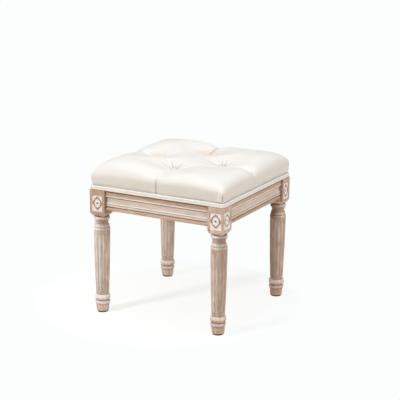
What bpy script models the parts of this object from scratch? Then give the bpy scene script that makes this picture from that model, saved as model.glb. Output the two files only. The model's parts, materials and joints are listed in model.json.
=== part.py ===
"""A square tufted stool: turned, fluted legs, moulded aprons, and a button-tufted seat with a double welt.

The frame is in metres with +Z up, -Y the front, and its origin on the floor under the stool's middle.
"""

import math

import bmesh
import bpy
from mathutils import Matrix, Vector

# Overall
OVERALL_WIDTH = 0.430
CLEARANCE = 0.0003
OVERRUN = 0.005
ROUND_STEPS = 24
MIDDLE_ROUND_STEPS = 12
SMALL_ROUND_STEPS = 8

# Leg block and its rosette panels
BLOCK_SIDE = 0.0495
BLOCK_HEIGHT = 0.0706
BLOCK_CHAMFER_HEIGHT = 0.0090
BLOCK_CHAMFER_INSET = 0.0085
PANEL_WIDTH = 0.0350
PANEL_HEIGHT = 0.0480
PANEL_DEPTH = 0.0022
PANEL_TOP_MARGIN = 0.0180
ROSETTE_WIDTH = 0.0290
ROSETTE_HEIGHT = 0.0350
ROSETTE_RING = 0.0042
ROSETTE_RELIEF = 0.0019
ROSETTE_LOBE = 0.0012
ROSETTE_POINTS = 16
BOSS_RADIUS = 0.0052
BOSS_RELIEF = 0.0021

# Turned part of the leg, from the foot up
FOOT_HEIGHT = 0.0208
FOOT_BOTTOM_RADIUS = 0.0181
FOOT_TOP_RADIUS = 0.0195
FOOT_EDGE = 0.0014
LOW_RING_HEIGHT = 0.0100
LOW_RING_RADIUS = 0.0217
RING_GROOVE_HEIGHT = 0.0050
RING_GROOVE_RADIUS = 0.0201
HIGH_RING_HEIGHT = 0.0145
HIGH_RING_RADIUS = 0.0225
WAIST_HEIGHT = 0.0055
WAIST_RADIUS = 0.0188
BODY_HEIGHT = 0.1888
BODY_BOTTOM_RADIUS = 0.0190
BODY_TOP_RADIUS = 0.0236
BODY_SWELL = 0.0007
SHOULDER_HEIGHT = 0.0120
SHOULDER_RADIUS = 0.0212
NECK_HEIGHT = 0.0210
NECK_RADIUS = 0.0167
COLLAR_FOOT_RADIUS = 0.0222
COLLAR_HEIGHT = 0.0110
COLLAR_RADIUS = 0.0236
COLLAR_TOP_RADIUS = 0.0180
RING_STEPS = 3
NECK_STEPS = 4

# Flutes
FLUTE_COUNT = 12
FLUTE_WIDTH = 0.0074
FLUTE_DEPTH = 0.0023
FLUTE_BOTTOM_MARGIN = 0.0070
FLUTE_TOP_MARGIN = 0.0090
FLUTE_STEPS = 6

# Glides
GLIDE_RADIUS = 0.0165
GLIDE_HEIGHT = 0.0040
GLIDE_EDGE = 0.0012
GLIDE_NAIL_RADIUS = 0.0013
GLIDE_NAIL_LENGTH = 0.0180

# Aprons: insets are measured in from the outer faces of the blocks
APRON_HEIGHT = 0.0605
APRON_THICKNESS = 0.0215
APRON_INSET = 0.0050
FASCIA_HEIGHT = 0.0180
FASCIA_EDGE = 0.0010
BAND_INSET = 0.0040
BAND_HEIGHT = 0.0170
BAND_HOLLOW = 0.0016
FILLET_HEIGHT = 0.0030
FILLET_INSET = 0.0022
FILLET_GROOVE = 0.0030
BEAD_HEIGHT = 0.0175
BEAD_INSET = 0.0025

# Joints and corner blocks
DOWEL_RADIUS = 0.0040
DOWEL_LENGTH = 0.0400
DOWEL_INSET = 0.0197
DOWEL_MARGIN = 0.0125
CORNER_BLOCK_THICKNESS = 0.0220
CORNER_BLOCK_REACH = 0.0780
SCREW_RADIUS = 0.0020
SCREW_HEAD_RADIUS = 0.0040
SCREW_CROWN_RADIUS = 0.0028
SCREW_HEAD_HEIGHT = 0.0028
SCREW_TIP_LENGTH = 0.0050
APRON_SCREW_LENGTH = 0.0300
APRON_SCREW_BITE = 0.0140
APRON_SCREW_SETBACK = 0.0560
SEAT_SCREW_LENGTH = 0.0310
SEAT_SCREW_SETBACK = 0.0330

# Seat
BOARD_THICKNESS = 0.0120
COVER_THICKNESS = 0.0020
WELT_RADIUS = 0.0031
WELT_CORD_SPACING = 0.0057
WELT_CORNER_STEPS = 4
SEAT_CORNER_RADIUS = 0.0160
SEAT_CORNER_STEPS = 2
PAD_CLEARANCE = 0.0006
SIDE_BULGE = 0.0074
SIDE_BULGE_HEIGHT = 0.0200
EDGE_INSET = 0.0035
EDGE_HEIGHT = 0.0470
CROWN_HEIGHT = 0.0740
CROWN_POWER = 6
TUFT_SHARE = 0.5
TUFT_SEAT_HEIGHT = 0.0420
TUFT_SEAT_WIDTH = 0.0350
DIAMOND_PLEAT_DEPTH = 0.0150
EDGE_PLEAT_DEPTH = 0.0110
SIDE_PLEAT_DEPTH = 0.0025
PLEAT_SHARPNESS = 0.8

# Tuft buttons and their twines
BUTTON_RADIUS = 0.0110
BUTTON_HEIGHT = 0.0065
BUTTON_RIM = 0.0022
BUTTON_SHANK_RADIUS = 0.0014
BUTTON_SHANK_LENGTH = 0.0060
TWINE_RADIUS = 0.0009
TWINE_HOLE_RADIUS = 0.0020
KNOT_RADIUS = 0.0036
KNOT_HEIGHT = 0.0026

# Places that follow from the sizes above
HALF_WIDTH = OVERALL_WIDTH / 2
LEG_AXIS = HALF_WIDTH - BLOCK_SIDE / 2
BLOCK_INNER_FACE = HALF_WIDTH - BLOCK_SIDE
FOOT_BOTTOM = GLIDE_HEIGHT + CLEARANCE
LOW_RING_BOTTOM = FOOT_BOTTOM + FOOT_HEIGHT
RING_GROOVE_BOTTOM = LOW_RING_BOTTOM + LOW_RING_HEIGHT
HIGH_RING_BOTTOM = RING_GROOVE_BOTTOM + RING_GROOVE_HEIGHT
WAIST_BOTTOM = HIGH_RING_BOTTOM + HIGH_RING_HEIGHT
BODY_BOTTOM = WAIST_BOTTOM + WAIST_HEIGHT
BODY_TOP = BODY_BOTTOM + BODY_HEIGHT
SHOULDER_TOP = BODY_TOP + SHOULDER_HEIGHT
NECK_TOP = SHOULDER_TOP + NECK_HEIGHT
COLLAR_TOP = NECK_TOP + COLLAR_HEIGHT
BLOCK_BOTTOM = COLLAR_TOP + BLOCK_CHAMFER_HEIGHT
FRAME_TOP = BLOCK_BOTTOM + BLOCK_HEIGHT
PANEL_MIDDLE = FRAME_TOP - PANEL_TOP_MARGIN - PANEL_HEIGHT / 2
APRON_BOTTOM = FRAME_TOP - APRON_HEIGHT
APRON_BACK = HALF_WIDTH - APRON_INSET - APRON_THICKNESS
BOARD_BOTTOM = FRAME_TOP + CLEARANCE
BOARD_TOP = BOARD_BOTTOM + BOARD_THICKNESS
WELT_HALF_SIDE = HALF_WIDTH - WELT_RADIUS
COVER_HALF_SIDE = WELT_HALF_SIDE - WELT_RADIUS - CLEARANCE
BOARD_HALF_SIDE = COVER_HALF_SIDE - COVER_THICKNESS - PAD_CLEARANCE
BOARD_CORNER_RADIUS = SEAT_CORNER_RADIUS - COVER_THICKNESS - PAD_CLEARANCE
WELT_CORNER_RADIUS = SEAT_CORNER_RADIUS + CLEARANCE + WELT_RADIUS
PAD_BOTTOM = BOARD_TOP + CLEARANCE
TUFT_SEAT = BOARD_TOP + TUFT_SEAT_HEIGHT
TUFT_REACH = COVER_HALF_SIDE * TUFT_SHARE
CORNER_LINE_SHARE = 1 - 2 * SEAT_CORNER_RADIUS / COVER_HALF_SIDE
CAGE_LINE_SHARES = (0, TUFT_SHARE / 2, TUFT_SHARE, CORNER_LINE_SHARE, 1)
TUFT_PLACES = ((0.0, -TUFT_REACH), (TUFT_REACH, 0.0), (0.0, TUFT_REACH), (-TUFT_REACH, 0.0))
CORNERS = ("front_right", "back_right", "back_left", "front_left")
SIDES = ("front", "right", "back", "left")
QUARTER = math.pi / 2


# Scene and materials


def clear_scene():
    for item in list(bpy.data.objects):
        bpy.data.objects.remove(item, do_unlink=True)


def new_collection(name, shown=True):
    made = bpy.data.collections.new(name)
    bpy.context.scene.collection.children.link(made)
    made.hide_render = not shown
    return made


def new_material(name, colour, roughness, metallic=0.0):
    made = bpy.data.materials.new(name)
    made.use_nodes = True
    shader = made.node_tree.nodes["Principled BSDF"]
    shader.inputs["Base Color"].default_value = (*colour, 1.0)
    shader.inputs["Roughness"].default_value = roughness
    shader.inputs["Metallic"].default_value = metallic
    made.diffuse_color = (*colour, 1.0)
    return made


def add_object(name, data, collection):
    made = bpy.data.objects.new(name, data)
    collection.objects.link(made)
    return made


def add_part(name, mesh, material, matrix=None):
    """One sub-part of the stool: a named object under the stool's empty."""
    if not mesh.materials:
        mesh.materials.append(material)
    made = add_object(name, mesh, parts)
    made.parent = stool
    made.matrix_world = matrix or Matrix.Identity(4)
    return made


def quarter_turn(count):
    return Matrix.Rotation(count * QUARTER, 4, "Z")


# Shapes


def mesh_from(shape, name):
    mesh = bpy.data.meshes.new(name)
    shape.to_mesh(mesh)
    shape.free()
    return mesh


def box_mesh(name, size, middle):
    shape = bmesh.new()
    bmesh.ops.create_cube(shape, size=1)
    bmesh.ops.scale(shape, vec=size, verts=shape.verts)
    bmesh.ops.translate(shape, vec=middle, verts=shape.verts)
    return mesh_from(shape, name)


def rod_mesh(name, radius, length, matrix, steps=SMALL_ROUND_STEPS):
    """A cylinder whose lower end is at the matrix's origin and which runs along its Z axis."""
    shape = bmesh.new()
    lift = matrix @ Matrix.Translation((0, 0, length / 2))
    bmesh.ops.create_cone(
        shape, cap_ends=True, segments=steps, radius1=radius, radius2=radius, depth=length, matrix=lift
    )
    return mesh_from(shape, name)


def joined_mesh(name, placed):
    """One mesh that holds each (mesh, matrix) pair as a body of its own."""
    shape = bmesh.new()
    for mesh, matrix in placed:
        copy = mesh.copy()
        copy.transform(matrix)
        shape.from_mesh(copy)
        bpy.data.meshes.remove(copy)
    return mesh_from(shape, name)


def baked_mesh(item, name):
    """The object's evaluated mesh, welded, in place of the object."""
    bpy.context.view_layer.update()
    graph = bpy.context.evaluated_depsgraph_get()
    mesh = bpy.data.meshes.new_from_object(item.evaluated_get(graph), depsgraph=graph)
    mesh.name = name
    shape = bmesh.new()
    shape.from_mesh(mesh)
    bmesh.ops.remove_doubles(shape, verts=shape.verts, dist=CLEARANCE / 100)
    shape.to_mesh(mesh)
    shape.free()
    bpy.data.objects.remove(item, do_unlink=True)
    return mesh


def combined_mesh(base, others, operation, name):
    """The base mesh after an exact Boolean with each of the other meshes."""
    item = add_object(name, base, parts)
    for index, other in enumerate(others):
        helper = add_object(f"{name}_{operation.lower()}_{index}", other, cutters)
        helper.display_type = "WIRE"
        helper.hide_render = True
        boolean = item.modifiers.new(helper.name, "BOOLEAN")
        boolean.operation = operation
        boolean.object = helper
    mesh = baked_mesh(item, name)
    for helper in [held for held in cutters.objects if held.name.startswith(name)]:
        bpy.data.objects.remove(helper, do_unlink=True)
    return mesh


def turned_mesh(name, profile, steps):
    """A body turned about Z from (radius, height) points that run from the bottom to the top."""
    shape = bmesh.new()
    points = [shape.verts.new((radius, 0, height)) for radius, height in reversed(profile)]
    for first, second in zip(points, points[1:]):
        shape.edges.new((first, second))
    item = add_object(name, mesh_from(shape, name), parts)
    screw = item.modifiers.new("Turning", "SCREW")
    screw.steps = steps
    screw.render_steps = steps
    screw.use_merge_vertices = True
    screw.merge_threshold = CLEARANCE / 100
    return baked_mesh(item, name)


def outline_mesh(name, outlines, thickness):
    """Closed outlines in the XY plane, filled and extruded along Z. Inner outlines are holes."""
    curve = bpy.data.curves.new(name, "CURVE")
    curve.dimensions = "2D"
    curve.fill_mode = "BOTH"
    curve.extrude = thickness / 2
    for outline in outlines:
        spline = curve.splines.new("POLY")
        spline.points.add(len(outline) - 1)
        for point, (x, y) in zip(spline.points, outline):
            point.co = (x, y, 0, 1)
        spline.use_cyclic_u = True
    return baked_mesh(add_object(name, curve, parts), name)


def smooth(mesh, angle=math.radians(35)):
    mesh.shade_smooth()
    mesh.set_sharp_from_angle(angle=angle)
    return mesh


def arc_between(start, end, bulge, steps):
    """Points (radius, height) from start to end, bowed out by the bulge along a half wave."""
    for step in range(steps + 1):
        share = (1 - math.cos(math.pi * step / steps)) / 2
        radius = start[0] + (end[0] - start[0]) * share
        height = start[1] + (end[1] - start[1]) * share
        yield radius + bulge * math.sin(math.pi * step / steps), height


def rounded_square(half_side, corner_radius, corner_steps):
    """The points of a square outline with round corners, anticlockwise."""
    centre = half_side - corner_radius
    for corner in range(4):
        turn = corner * QUARTER
        middle = Matrix.Rotation(turn, 2) @ Vector((centre, centre))
        for step in range(corner_steps + 1):
            angle = turn + QUARTER * step / corner_steps
            yield middle.x + corner_radius * math.cos(angle), middle.y + corner_radius * math.sin(angle)


def on_rounded_square(x, y, half_side, corner_radius):
    """The point of the rounded square's outline that lies straight out from this one."""
    centre = half_side - corner_radius
    core = Vector((max(-centre, min(centre, x)), max(-centre, min(centre, y))))
    out = Vector((x, y)) - core
    point = core + out.normalized() * corner_radius
    return point.x, point.y


# Legs


def turning_profile():
    """(radius, height) points of the turned leg, from the foot's middle up into the block."""
    profile = [(0, FOOT_BOTTOM), (FOOT_BOTTOM_RADIUS - FOOT_EDGE, FOOT_BOTTOM)]
    profile.append((FOOT_BOTTOM_RADIUS, FOOT_BOTTOM + FOOT_EDGE))
    foot_top = (FOOT_TOP_RADIUS, LOW_RING_BOTTOM)
    groove_bottom = (RING_GROOVE_RADIUS, RING_GROOVE_BOTTOM)
    groove_top = (RING_GROOVE_RADIUS, HIGH_RING_BOTTOM)
    waist_bottom = (WAIST_RADIUS, WAIST_BOTTOM)
    profile += arc_between(foot_top, groove_bottom, LOW_RING_RADIUS - FOOT_TOP_RADIUS, RING_STEPS)
    profile += arc_between(groove_top, waist_bottom, HIGH_RING_RADIUS - RING_GROOVE_RADIUS, RING_STEPS)
    body_bottom = (BODY_BOTTOM_RADIUS, BODY_BOTTOM)
    body_top = (BODY_TOP_RADIUS, BODY_TOP)
    profile += arc_between(body_bottom, body_top, BODY_SWELL, RING_STEPS)
    profile.append((SHOULDER_RADIUS, SHOULDER_TOP))
    collar_bottom = (COLLAR_FOOT_RADIUS, NECK_TOP)
    neck_draw = NECK_RADIUS - (SHOULDER_RADIUS + COLLAR_FOOT_RADIUS) / 2
    profile += list(arc_between((SHOULDER_RADIUS, SHOULDER_TOP), collar_bottom, neck_draw, NECK_STEPS))[1:]
    collar_top = (COLLAR_TOP_RADIUS, COLLAR_TOP)
    collar_bulge = COLLAR_RADIUS - COLLAR_FOOT_RADIUS
    profile += list(arc_between(collar_bottom, collar_top, collar_bulge, RING_STEPS))[1:]
    inside_block = BLOCK_BOTTOM + OVERRUN
    return profile + [(COLLAR_TOP_RADIUS - BLOCK_CHAMFER_INSET / 2, inside_block), (0, inside_block)]


def block_mesh():
    """The square top of the leg, drawn in below to meet the collar."""
    shape = bmesh.new()
    bmesh.ops.create_cube(shape, size=1)
    bmesh.ops.scale(shape, vec=(BLOCK_SIDE, BLOCK_SIDE, BLOCK_HEIGHT), verts=shape.verts)
    bmesh.ops.translate(shape, vec=(0, 0, BLOCK_BOTTOM + BLOCK_HEIGHT / 2), verts=shape.verts)
    lowest = min(shape.faces, key=lambda face: face.calc_center_median().z)
    made = bmesh.ops.extrude_face_region(shape, geom=[lowest])["geom"]
    bmesh.ops.delete(shape, geom=[lowest], context="FACES_ONLY")
    corners = [item for item in made if isinstance(item, bmesh.types.BMVert)]
    drawn_in = 1 - 2 * BLOCK_CHAMFER_INSET / BLOCK_SIDE
    bmesh.ops.scale(shape, vec=(drawn_in, drawn_in, 1), verts=corners)
    bmesh.ops.translate(shape, vec=(0, 0, -BLOCK_CHAMFER_HEIGHT), verts=corners)
    return mesh_from(shape, "block")


def panel_turns():
    """The two outer faces of the front right leg: the front one, then the right one."""
    return (Matrix.Identity(4), quarter_turn(1))


def panel_cutters():
    depth = PANEL_DEPTH + OVERRUN
    middle = (0, -BLOCK_SIDE / 2 + PANEL_DEPTH - depth / 2, PANEL_MIDDLE)
    panel = box_mesh("panel", (PANEL_WIDTH, depth, PANEL_HEIGHT), middle)
    return joined_mesh("panels", [(panel, turn) for turn in panel_turns()])


def lobed_outline(inset):
    """The rosette's outline: an upright diamond with a lobe at each point, drawn in by the inset."""
    half_width = ROSETTE_WIDTH / 2 - inset
    half_height = ROSETTE_HEIGHT / 2 - inset
    for index in range(ROSETTE_POINTS):
        angle = 2 * math.pi * index / ROSETTE_POINTS
        lobe = ROSETTE_LOBE * (math.cos(4 * angle) - 1)
        yield (half_width + lobe) * math.cos(angle), (half_height + lobe) * math.sin(angle)


def rosette_mesh():
    """The carved ring and boss, standing up from the ground of the panel on the front face."""
    rooted = ROSETTE_RELIEF + PANEL_DEPTH
    ring = outline_mesh("ring", [list(lobed_outline(0)), list(lobed_outline(ROSETTE_RING))], rooted)
    ground = -BLOCK_SIDE / 2 + PANEL_DEPTH
    upright = Matrix.Rotation(QUARTER, 4, "X")
    ring.transform(Matrix.Translation((0, ground - ROSETTE_RELIEF + rooted / 2, PANEL_MIDDLE)) @ upright)
    shape = bmesh.new()
    bmesh.ops.create_uvsphere(shape, u_segments=SMALL_ROUND_STEPS, v_segments=4, radius=BOSS_RADIUS)
    boss = mesh_from(shape, "boss")
    flatten = Matrix.Diagonal((1, 1, BOSS_RELIEF / BOSS_RADIUS, 1))
    boss.transform(Matrix.Translation((0, ground, PANEL_MIDDLE)) @ upright @ flatten)
    return joined_mesh("rosette", [(ring, Matrix.Identity(4)), (boss, Matrix.Identity(4))])


def flute_profile(length, low_radius, high_radius):
    """A round-ended rod along Z, a little thicker at the top."""
    for step in range(3):
        angle = QUARTER * step / 2
        yield low_radius * math.sin(angle), low_radius * (1 - math.cos(angle))
    for step in range(2, -1, -1):
        angle = QUARTER * step / 2
        yield high_radius * math.sin(angle), length - high_radius * (1 - math.cos(angle))


def flute_cutters():
    """Round-ended rods round the body that cut its flutes, leaning in with its taper."""
    low = BODY_BOTTOM + FLUTE_BOTTOM_MARGIN
    high = BODY_TOP - FLUTE_TOP_MARGIN
    taper = (BODY_TOP_RADIUS - BODY_BOTTOM_RADIUS) / BODY_HEIGHT
    low_surface = BODY_BOTTOM_RADIUS + taper * (low - BODY_BOTTOM)
    high_radius = (FLUTE_WIDTH**2 / 4 + FLUTE_DEPTH**2) / (2 * FLUTE_DEPTH)
    low_radius = high_radius * BODY_BOTTOM_RADIUS / BODY_TOP_RADIUS
    rod = turned_mesh("flute", list(flute_profile(high - low, low_radius, high_radius)), FLUTE_STEPS)
    half_step = Matrix.Rotation(math.pi / FLUTE_STEPS, 4, "Z")
    out = Matrix.Translation((low_surface - FLUTE_DEPTH + low_radius, 0, low))
    lean = Matrix.Rotation(math.atan(taper + (high_radius - low_radius) / (high - low)), 4, "Y")
    turns = [Matrix.Rotation(2 * math.pi * index / FLUTE_COUNT, 4, "Z") for index in range(FLUTE_COUNT)]
    return joined_mesh("flutes", [(rod, turn @ out @ lean @ half_step) for turn in turns])


def dowel_heights():
    return (APRON_BOTTOM + DOWEL_MARGIN, FRAME_TOP - DOWEL_MARGIN)


def dowel_hole_in_leg(height, side):
    """The hole in the leg's inner face that takes a dowel: side 0 faces -X and side 1 faces +Y."""
    length = DOWEL_LENGTH / 2 + CLEARANCE
    inset = DOWEL_INSET - BLOCK_SIDE / 2
    along = Matrix.Rotation(-QUARTER, 4, "Y") if side == 0 else Matrix.Rotation(-QUARTER, 4, "X")
    face = BLOCK_SIDE / 2 - length
    place = Vector((-face, inset, height)) if side == 0 else Vector((-inset, face, height))
    matrix = Matrix.Translation(place) @ along
    return rod_mesh("hole", DOWEL_RADIUS + CLEARANCE, length + OVERRUN, matrix)


def leg_mesh():
    """The front right leg about its own axis, with its rosettes on -Y and +X."""
    turned = turned_mesh("turning", turning_profile(), ROUND_STEPS)
    fluted = combined_mesh(turned, [flute_cutters()], "DIFFERENCE", "fluted")
    block = combined_mesh(block_mesh(), [panel_cutters()], "DIFFERENCE", "panelled")
    rosette = rosette_mesh()
    rosettes = joined_mesh("rosettes", [(rosette, turn) for turn in panel_turns()])
    whole = combined_mesh(fluted, [block, rosettes], "UNION", "whole")
    holes = [dowel_hole_in_leg(height, side) for height in dowel_heights() for side in (0, 1)]
    nail_hole = GLIDE_NAIL_LENGTH + CLEARANCE + OVERRUN
    below = Matrix.Translation((0, 0, FOOT_BOTTOM - OVERRUN))
    holes.append(rod_mesh("hole", GLIDE_NAIL_RADIUS + CLEARANCE, nail_hole, below))
    cutter = joined_mesh("holes", [(hole, Matrix.Identity(4)) for hole in holes])
    return smooth(combined_mesh(whole, [cutter], "DIFFERENCE", "leg"))


def add_legs():
    mesh = leg_mesh()
    corner = Matrix.Translation((LEG_AXIS, -LEG_AXIS, 0))
    for index, name in enumerate(CORNERS):
        add_part(f"leg_{name}", mesh, limed_wood, quarter_turn(index) @ corner)


def add_glides():
    nail_top = GLIDE_HEIGHT + GLIDE_NAIL_LENGTH
    profile = [
        (0, 0),
        (GLIDE_RADIUS - GLIDE_EDGE, 0),
        (GLIDE_RADIUS, GLIDE_EDGE),
        (GLIDE_RADIUS, GLIDE_HEIGHT),
        (GLIDE_NAIL_RADIUS, GLIDE_HEIGHT),
        (GLIDE_NAIL_RADIUS, nail_top - GLIDE_NAIL_RADIUS),
        (0, nail_top),
    ]
    mesh = smooth(turned_mesh("glide", profile, MIDDLE_ROUND_STEPS))
    corner = Matrix.Translation((LEG_AXIS, -LEG_AXIS, 0))
    for index, name in enumerate(CORNERS):
        add_part(f"glide_{name}", mesh, glide_plastic, quarter_turn(index) @ corner)


# Aprons


def apron_outline():
    """The rail's section as (inset, height) points, down its face and back up its plain back."""
    face = APRON_INSET
    back = APRON_INSET + APRON_THICKNESS
    fascia_bottom = FRAME_TOP - FASCIA_HEIGHT
    band = face + BAND_INSET
    band_top = fascia_bottom - FASCIA_EDGE
    band_bottom = band_top - BAND_HEIGHT
    fillet_bottom = band_bottom - FILLET_HEIGHT
    bead_top = APRON_BOTTOM + BEAD_HEIGHT
    points = [(face, FRAME_TOP), (face, fascia_bottom), (face + FASCIA_EDGE, band_top)]
    points += arc_between((band, band_top), (band, band_bottom), BAND_HOLLOW, 4)
    points += [(face + FILLET_INSET, band_bottom), (face + FILLET_INSET, fillet_bottom)]
    points += [(face + FILLET_INSET + FILLET_GROOVE, fillet_bottom)]
    bead_edge = (face + BEAD_INSET, bead_top)
    points += arc_between(bead_edge, (face + BEAD_INSET, APRON_BOTTOM), -BEAD_INSET, 4)
    return points + [(back, APRON_BOTTOM), (back, FRAME_TOP)]


def apron_screw_reach():
    """Where a corner block screw stands along the rail, from the middle of the stool."""
    return APRON_BACK - APRON_SCREW_SETBACK


def apron_mesh():
    """The front rail, from block to block, with its dowel and screw holes."""
    length = 2 * (BLOCK_INNER_FACE - CLEARANCE)
    rail = outline_mesh("rail", [apron_outline()], length)
    # The outline's X is the inset from the front, its Y the height and its Z the length.
    rail.transform(Matrix(((0, 0, 1, 0), (1, 0, 0, -HALF_WIDTH), (0, 1, 0, 0), (0, 0, 0, 1))))
    depth = DOWEL_LENGTH / 2 + CLEARANCE
    holes = []
    for end in (-1, 1):
        for height in dowel_heights():
            place = Vector((end * (length / 2 - depth), DOWEL_INSET - HALF_WIDTH, height))
            matrix = Matrix.Translation(place) @ Matrix.Rotation(end * QUARTER, 4, "Y")
            holes.append(rod_mesh("hole", DOWEL_RADIUS + CLEARANCE, depth + OVERRUN, matrix))
        bottom = -APRON_BACK - APRON_SCREW_BITE - CLEARANCE
        place = Vector((end * apron_screw_reach(), bottom, corner_block_middle()))
        matrix = Matrix.Translation(place) @ Matrix.Rotation(-QUARTER, 4, "X")
        drilled = APRON_SCREW_BITE + CLEARANCE + OVERRUN
        holes.append(rod_mesh("hole", SCREW_RADIUS + CLEARANCE, drilled, matrix))
    cutter = joined_mesh("holes", [(hole, Matrix.Identity(4)) for hole in holes])
    return smooth(combined_mesh(rail, [cutter], "DIFFERENCE", "apron"))


def add_aprons():
    mesh = apron_mesh()
    for index, side in enumerate(SIDES):
        add_part(f"apron_{side}", mesh, limed_wood, quarter_turn(index))


def add_dowels():
    """Two dowels in each joint, half in the rail and half in the leg."""
    mesh = smooth(rod_mesh("dowel", DOWEL_RADIUS, DOWEL_LENGTH, Matrix.Identity(4)))
    for index, side in enumerate(SIDES):
        for end, hand in ((-1, "a"), (1, "b")):
            for height, level in zip(dowel_heights(), ("low", "high")):
                start = end * (BLOCK_INNER_FACE - CLEARANCE / 2) - DOWEL_LENGTH / 2
                place = Matrix.Translation((start, DOWEL_INSET - HALF_WIDTH, height))
                along = Matrix.Rotation(QUARTER, 4, "Y")
                name = f"dowel_{side}_{hand}_{level}"
                add_part(name, mesh, plain_wood, quarter_turn(index) @ place @ along)


# Corner blocks and screws


def corner_block_middle():
    return FRAME_TOP - CORNER_BLOCK_THICKNESS / 2


def corner_block_outline():
    """The block behind the front right leg: against both rails, notched round the leg."""
    rail = APRON_BACK - CLEARANCE
    notch = BLOCK_INNER_FACE - CLEARANCE
    reach = rail - CORNER_BLOCK_REACH
    return [(reach, -rail), (notch, -rail), (notch, -notch), (rail, -notch), (rail, -reach)]


def screw_counterbore():
    """How far in from the rail's back the seat of the screw's head lies."""
    return APRON_SCREW_LENGTH - APRON_SCREW_BITE


def corner_block_mesh():
    block = outline_mesh("corner", [corner_block_outline()], CORNER_BLOCK_THICKNESS)
    block.transform(Matrix.Translation((0, 0, corner_block_middle())))
    shaft = SCREW_RADIUS + CLEARANCE
    head = SCREW_HEAD_RADIUS + CLEARANCE
    reach = apron_screw_reach()
    seat = -APRON_BACK + screw_counterbore()
    inward = Matrix.Rotation(-QUARTER, 4, "X")
    through = CORNER_BLOCK_REACH
    holes = []
    for mirror in (Matrix.Identity(4), quarter_turn(1) @ Matrix.Diagonal((-1, 1, 1, 1))):
        front = mirror @ Matrix.Translation((reach, -APRON_BACK - OVERRUN, corner_block_middle())) @ inward
        pocket = mirror @ Matrix.Translation((reach, seat - CLEARANCE, corner_block_middle())) @ inward
        holes.append(rod_mesh("hole", shaft, through, front))
        holes.append(rod_mesh("pocket", head, through, pocket))
    seat_screw = APRON_BACK - SEAT_SCREW_SETBACK
    below = Matrix.Translation((seat_screw, -seat_screw, corner_block_middle() - CORNER_BLOCK_THICKNESS))
    holes.append(rod_mesh("hole", shaft, 2 * CORNER_BLOCK_THICKNESS, below))
    for hole in holes:
        recalculate(hole)
    return combined_mesh(block, holes, "DIFFERENCE", "corner_block")


def recalculate(mesh):
    """Turns every face out again after a mirrored placing."""
    shape = bmesh.new()
    shape.from_mesh(mesh)
    bmesh.ops.recalc_face_normals(shape, faces=shape.faces)
    shape.to_mesh(mesh)
    shape.free()


def add_corner_blocks():
    mesh = corner_block_mesh()
    for index, name in enumerate(CORNERS):
        add_part(f"corner_block_{name}", mesh, plain_wood, quarter_turn(index))


def screw_mesh(name, length):
    """A pan-head screw along +Z whose head seats at height zero, with a pointed end."""
    profile = [
        (0, -SCREW_HEAD_HEIGHT),
        (SCREW_CROWN_RADIUS, -SCREW_HEAD_HEIGHT),
        (SCREW_HEAD_RADIUS, -SCREW_HEAD_HEIGHT / 2),
        (SCREW_HEAD_RADIUS, 0),
        (SCREW_RADIUS, 0),
        (SCREW_RADIUS, length - SCREW_TIP_LENGTH),
        (0, length),
    ]
    return smooth(turned_mesh(name, profile, SMALL_ROUND_STEPS))


def add_screws():
    """In each corner, one screw into each rail through the corner block, and one up into the seat board."""
    rail_screw = screw_mesh("rail_screw", APRON_SCREW_LENGTH)
    seat_screw = screw_mesh("seat_screw", SEAT_SCREW_LENGTH)
    seat = -APRON_BACK + screw_counterbore()
    outward = Matrix.Rotation(QUARTER, 4, "X")
    for index, name in enumerate(CORNERS):
        for hand, reach in ((0, apron_screw_reach()), (1, -apron_screw_reach())):
            place = Matrix.Translation((reach, seat, corner_block_middle()))
            turn = quarter_turn(index + hand)
            add_part(f"rail_screw_{name}_{'ab'[hand]}", rail_screw, steel, turn @ place @ outward)
        setback = APRON_BACK - SEAT_SCREW_SETBACK
        under = FRAME_TOP - CORNER_BLOCK_THICKNESS - CLEARANCE
        place = Matrix.Translation((setback, -setback, under))
        add_part(f"seat_screw_{name}", seat_screw, steel, quarter_turn(index) @ place)


# Seat


def twine_holes(radius, bottom, top):
    """A rod at each tuft, to drill the twine's way."""
    placed = []
    for x, y in TUFT_PLACES:
        rod = rod_mesh("twine_hole", radius, top - bottom, Matrix.Translation((x, y, bottom)))
        placed.append((rod, Matrix.Identity(4)))
    return joined_mesh("twine_holes", placed)


def add_seat_board():
    outline = list(rounded_square(BOARD_HALF_SIDE, BOARD_CORNER_RADIUS, SEAT_CORNER_STEPS))
    board = outline_mesh("board", [outline], BOARD_THICKNESS)
    board.transform(Matrix.Translation((0, 0, BOARD_BOTTOM + BOARD_THICKNESS / 2)))
    holes = [twine_holes(TWINE_HOLE_RADIUS, BOARD_BOTTOM - OVERRUN, BOARD_TOP + OVERRUN)]
    under = FRAME_TOP - CORNER_BLOCK_THICKNESS
    depth = SEAT_SCREW_LENGTH
    setback = APRON_BACK - SEAT_SCREW_SETBACK
    for index in range(4):
        place = quarter_turn(index) @ Matrix.Translation((setback, -setback, under))
        holes.append(rod_mesh("hole", SCREW_RADIUS + CLEARANCE, depth, place))
    add_part("seat_board", combined_mesh(board, holes, "DIFFERENCE", "seat_board"), plywood)


def crown(x_share, y_share):
    """The cage's height over the board: it rises from edge to puffs, with tufts and pleats drawn down."""
    spread = (1 - abs(x_share) ** CROWN_POWER) * (1 - abs(y_share) ** CROWN_POWER)
    height = EDGE_HEIGHT + (CROWN_HEIGHT - EDGE_HEIGHT) * spread
    across, along = sorted((abs(x_share), abs(y_share)))
    if (across, along) == (0, TUFT_SHARE):
        return TUFT_SEAT_HEIGHT
    if across == 0 and along > TUFT_SHARE:
        return height - EDGE_PLEAT_DEPTH
    if across == along == TUFT_SHARE / 2:
        return height - DIAMOND_PLEAT_DEPTH
    return height


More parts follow.
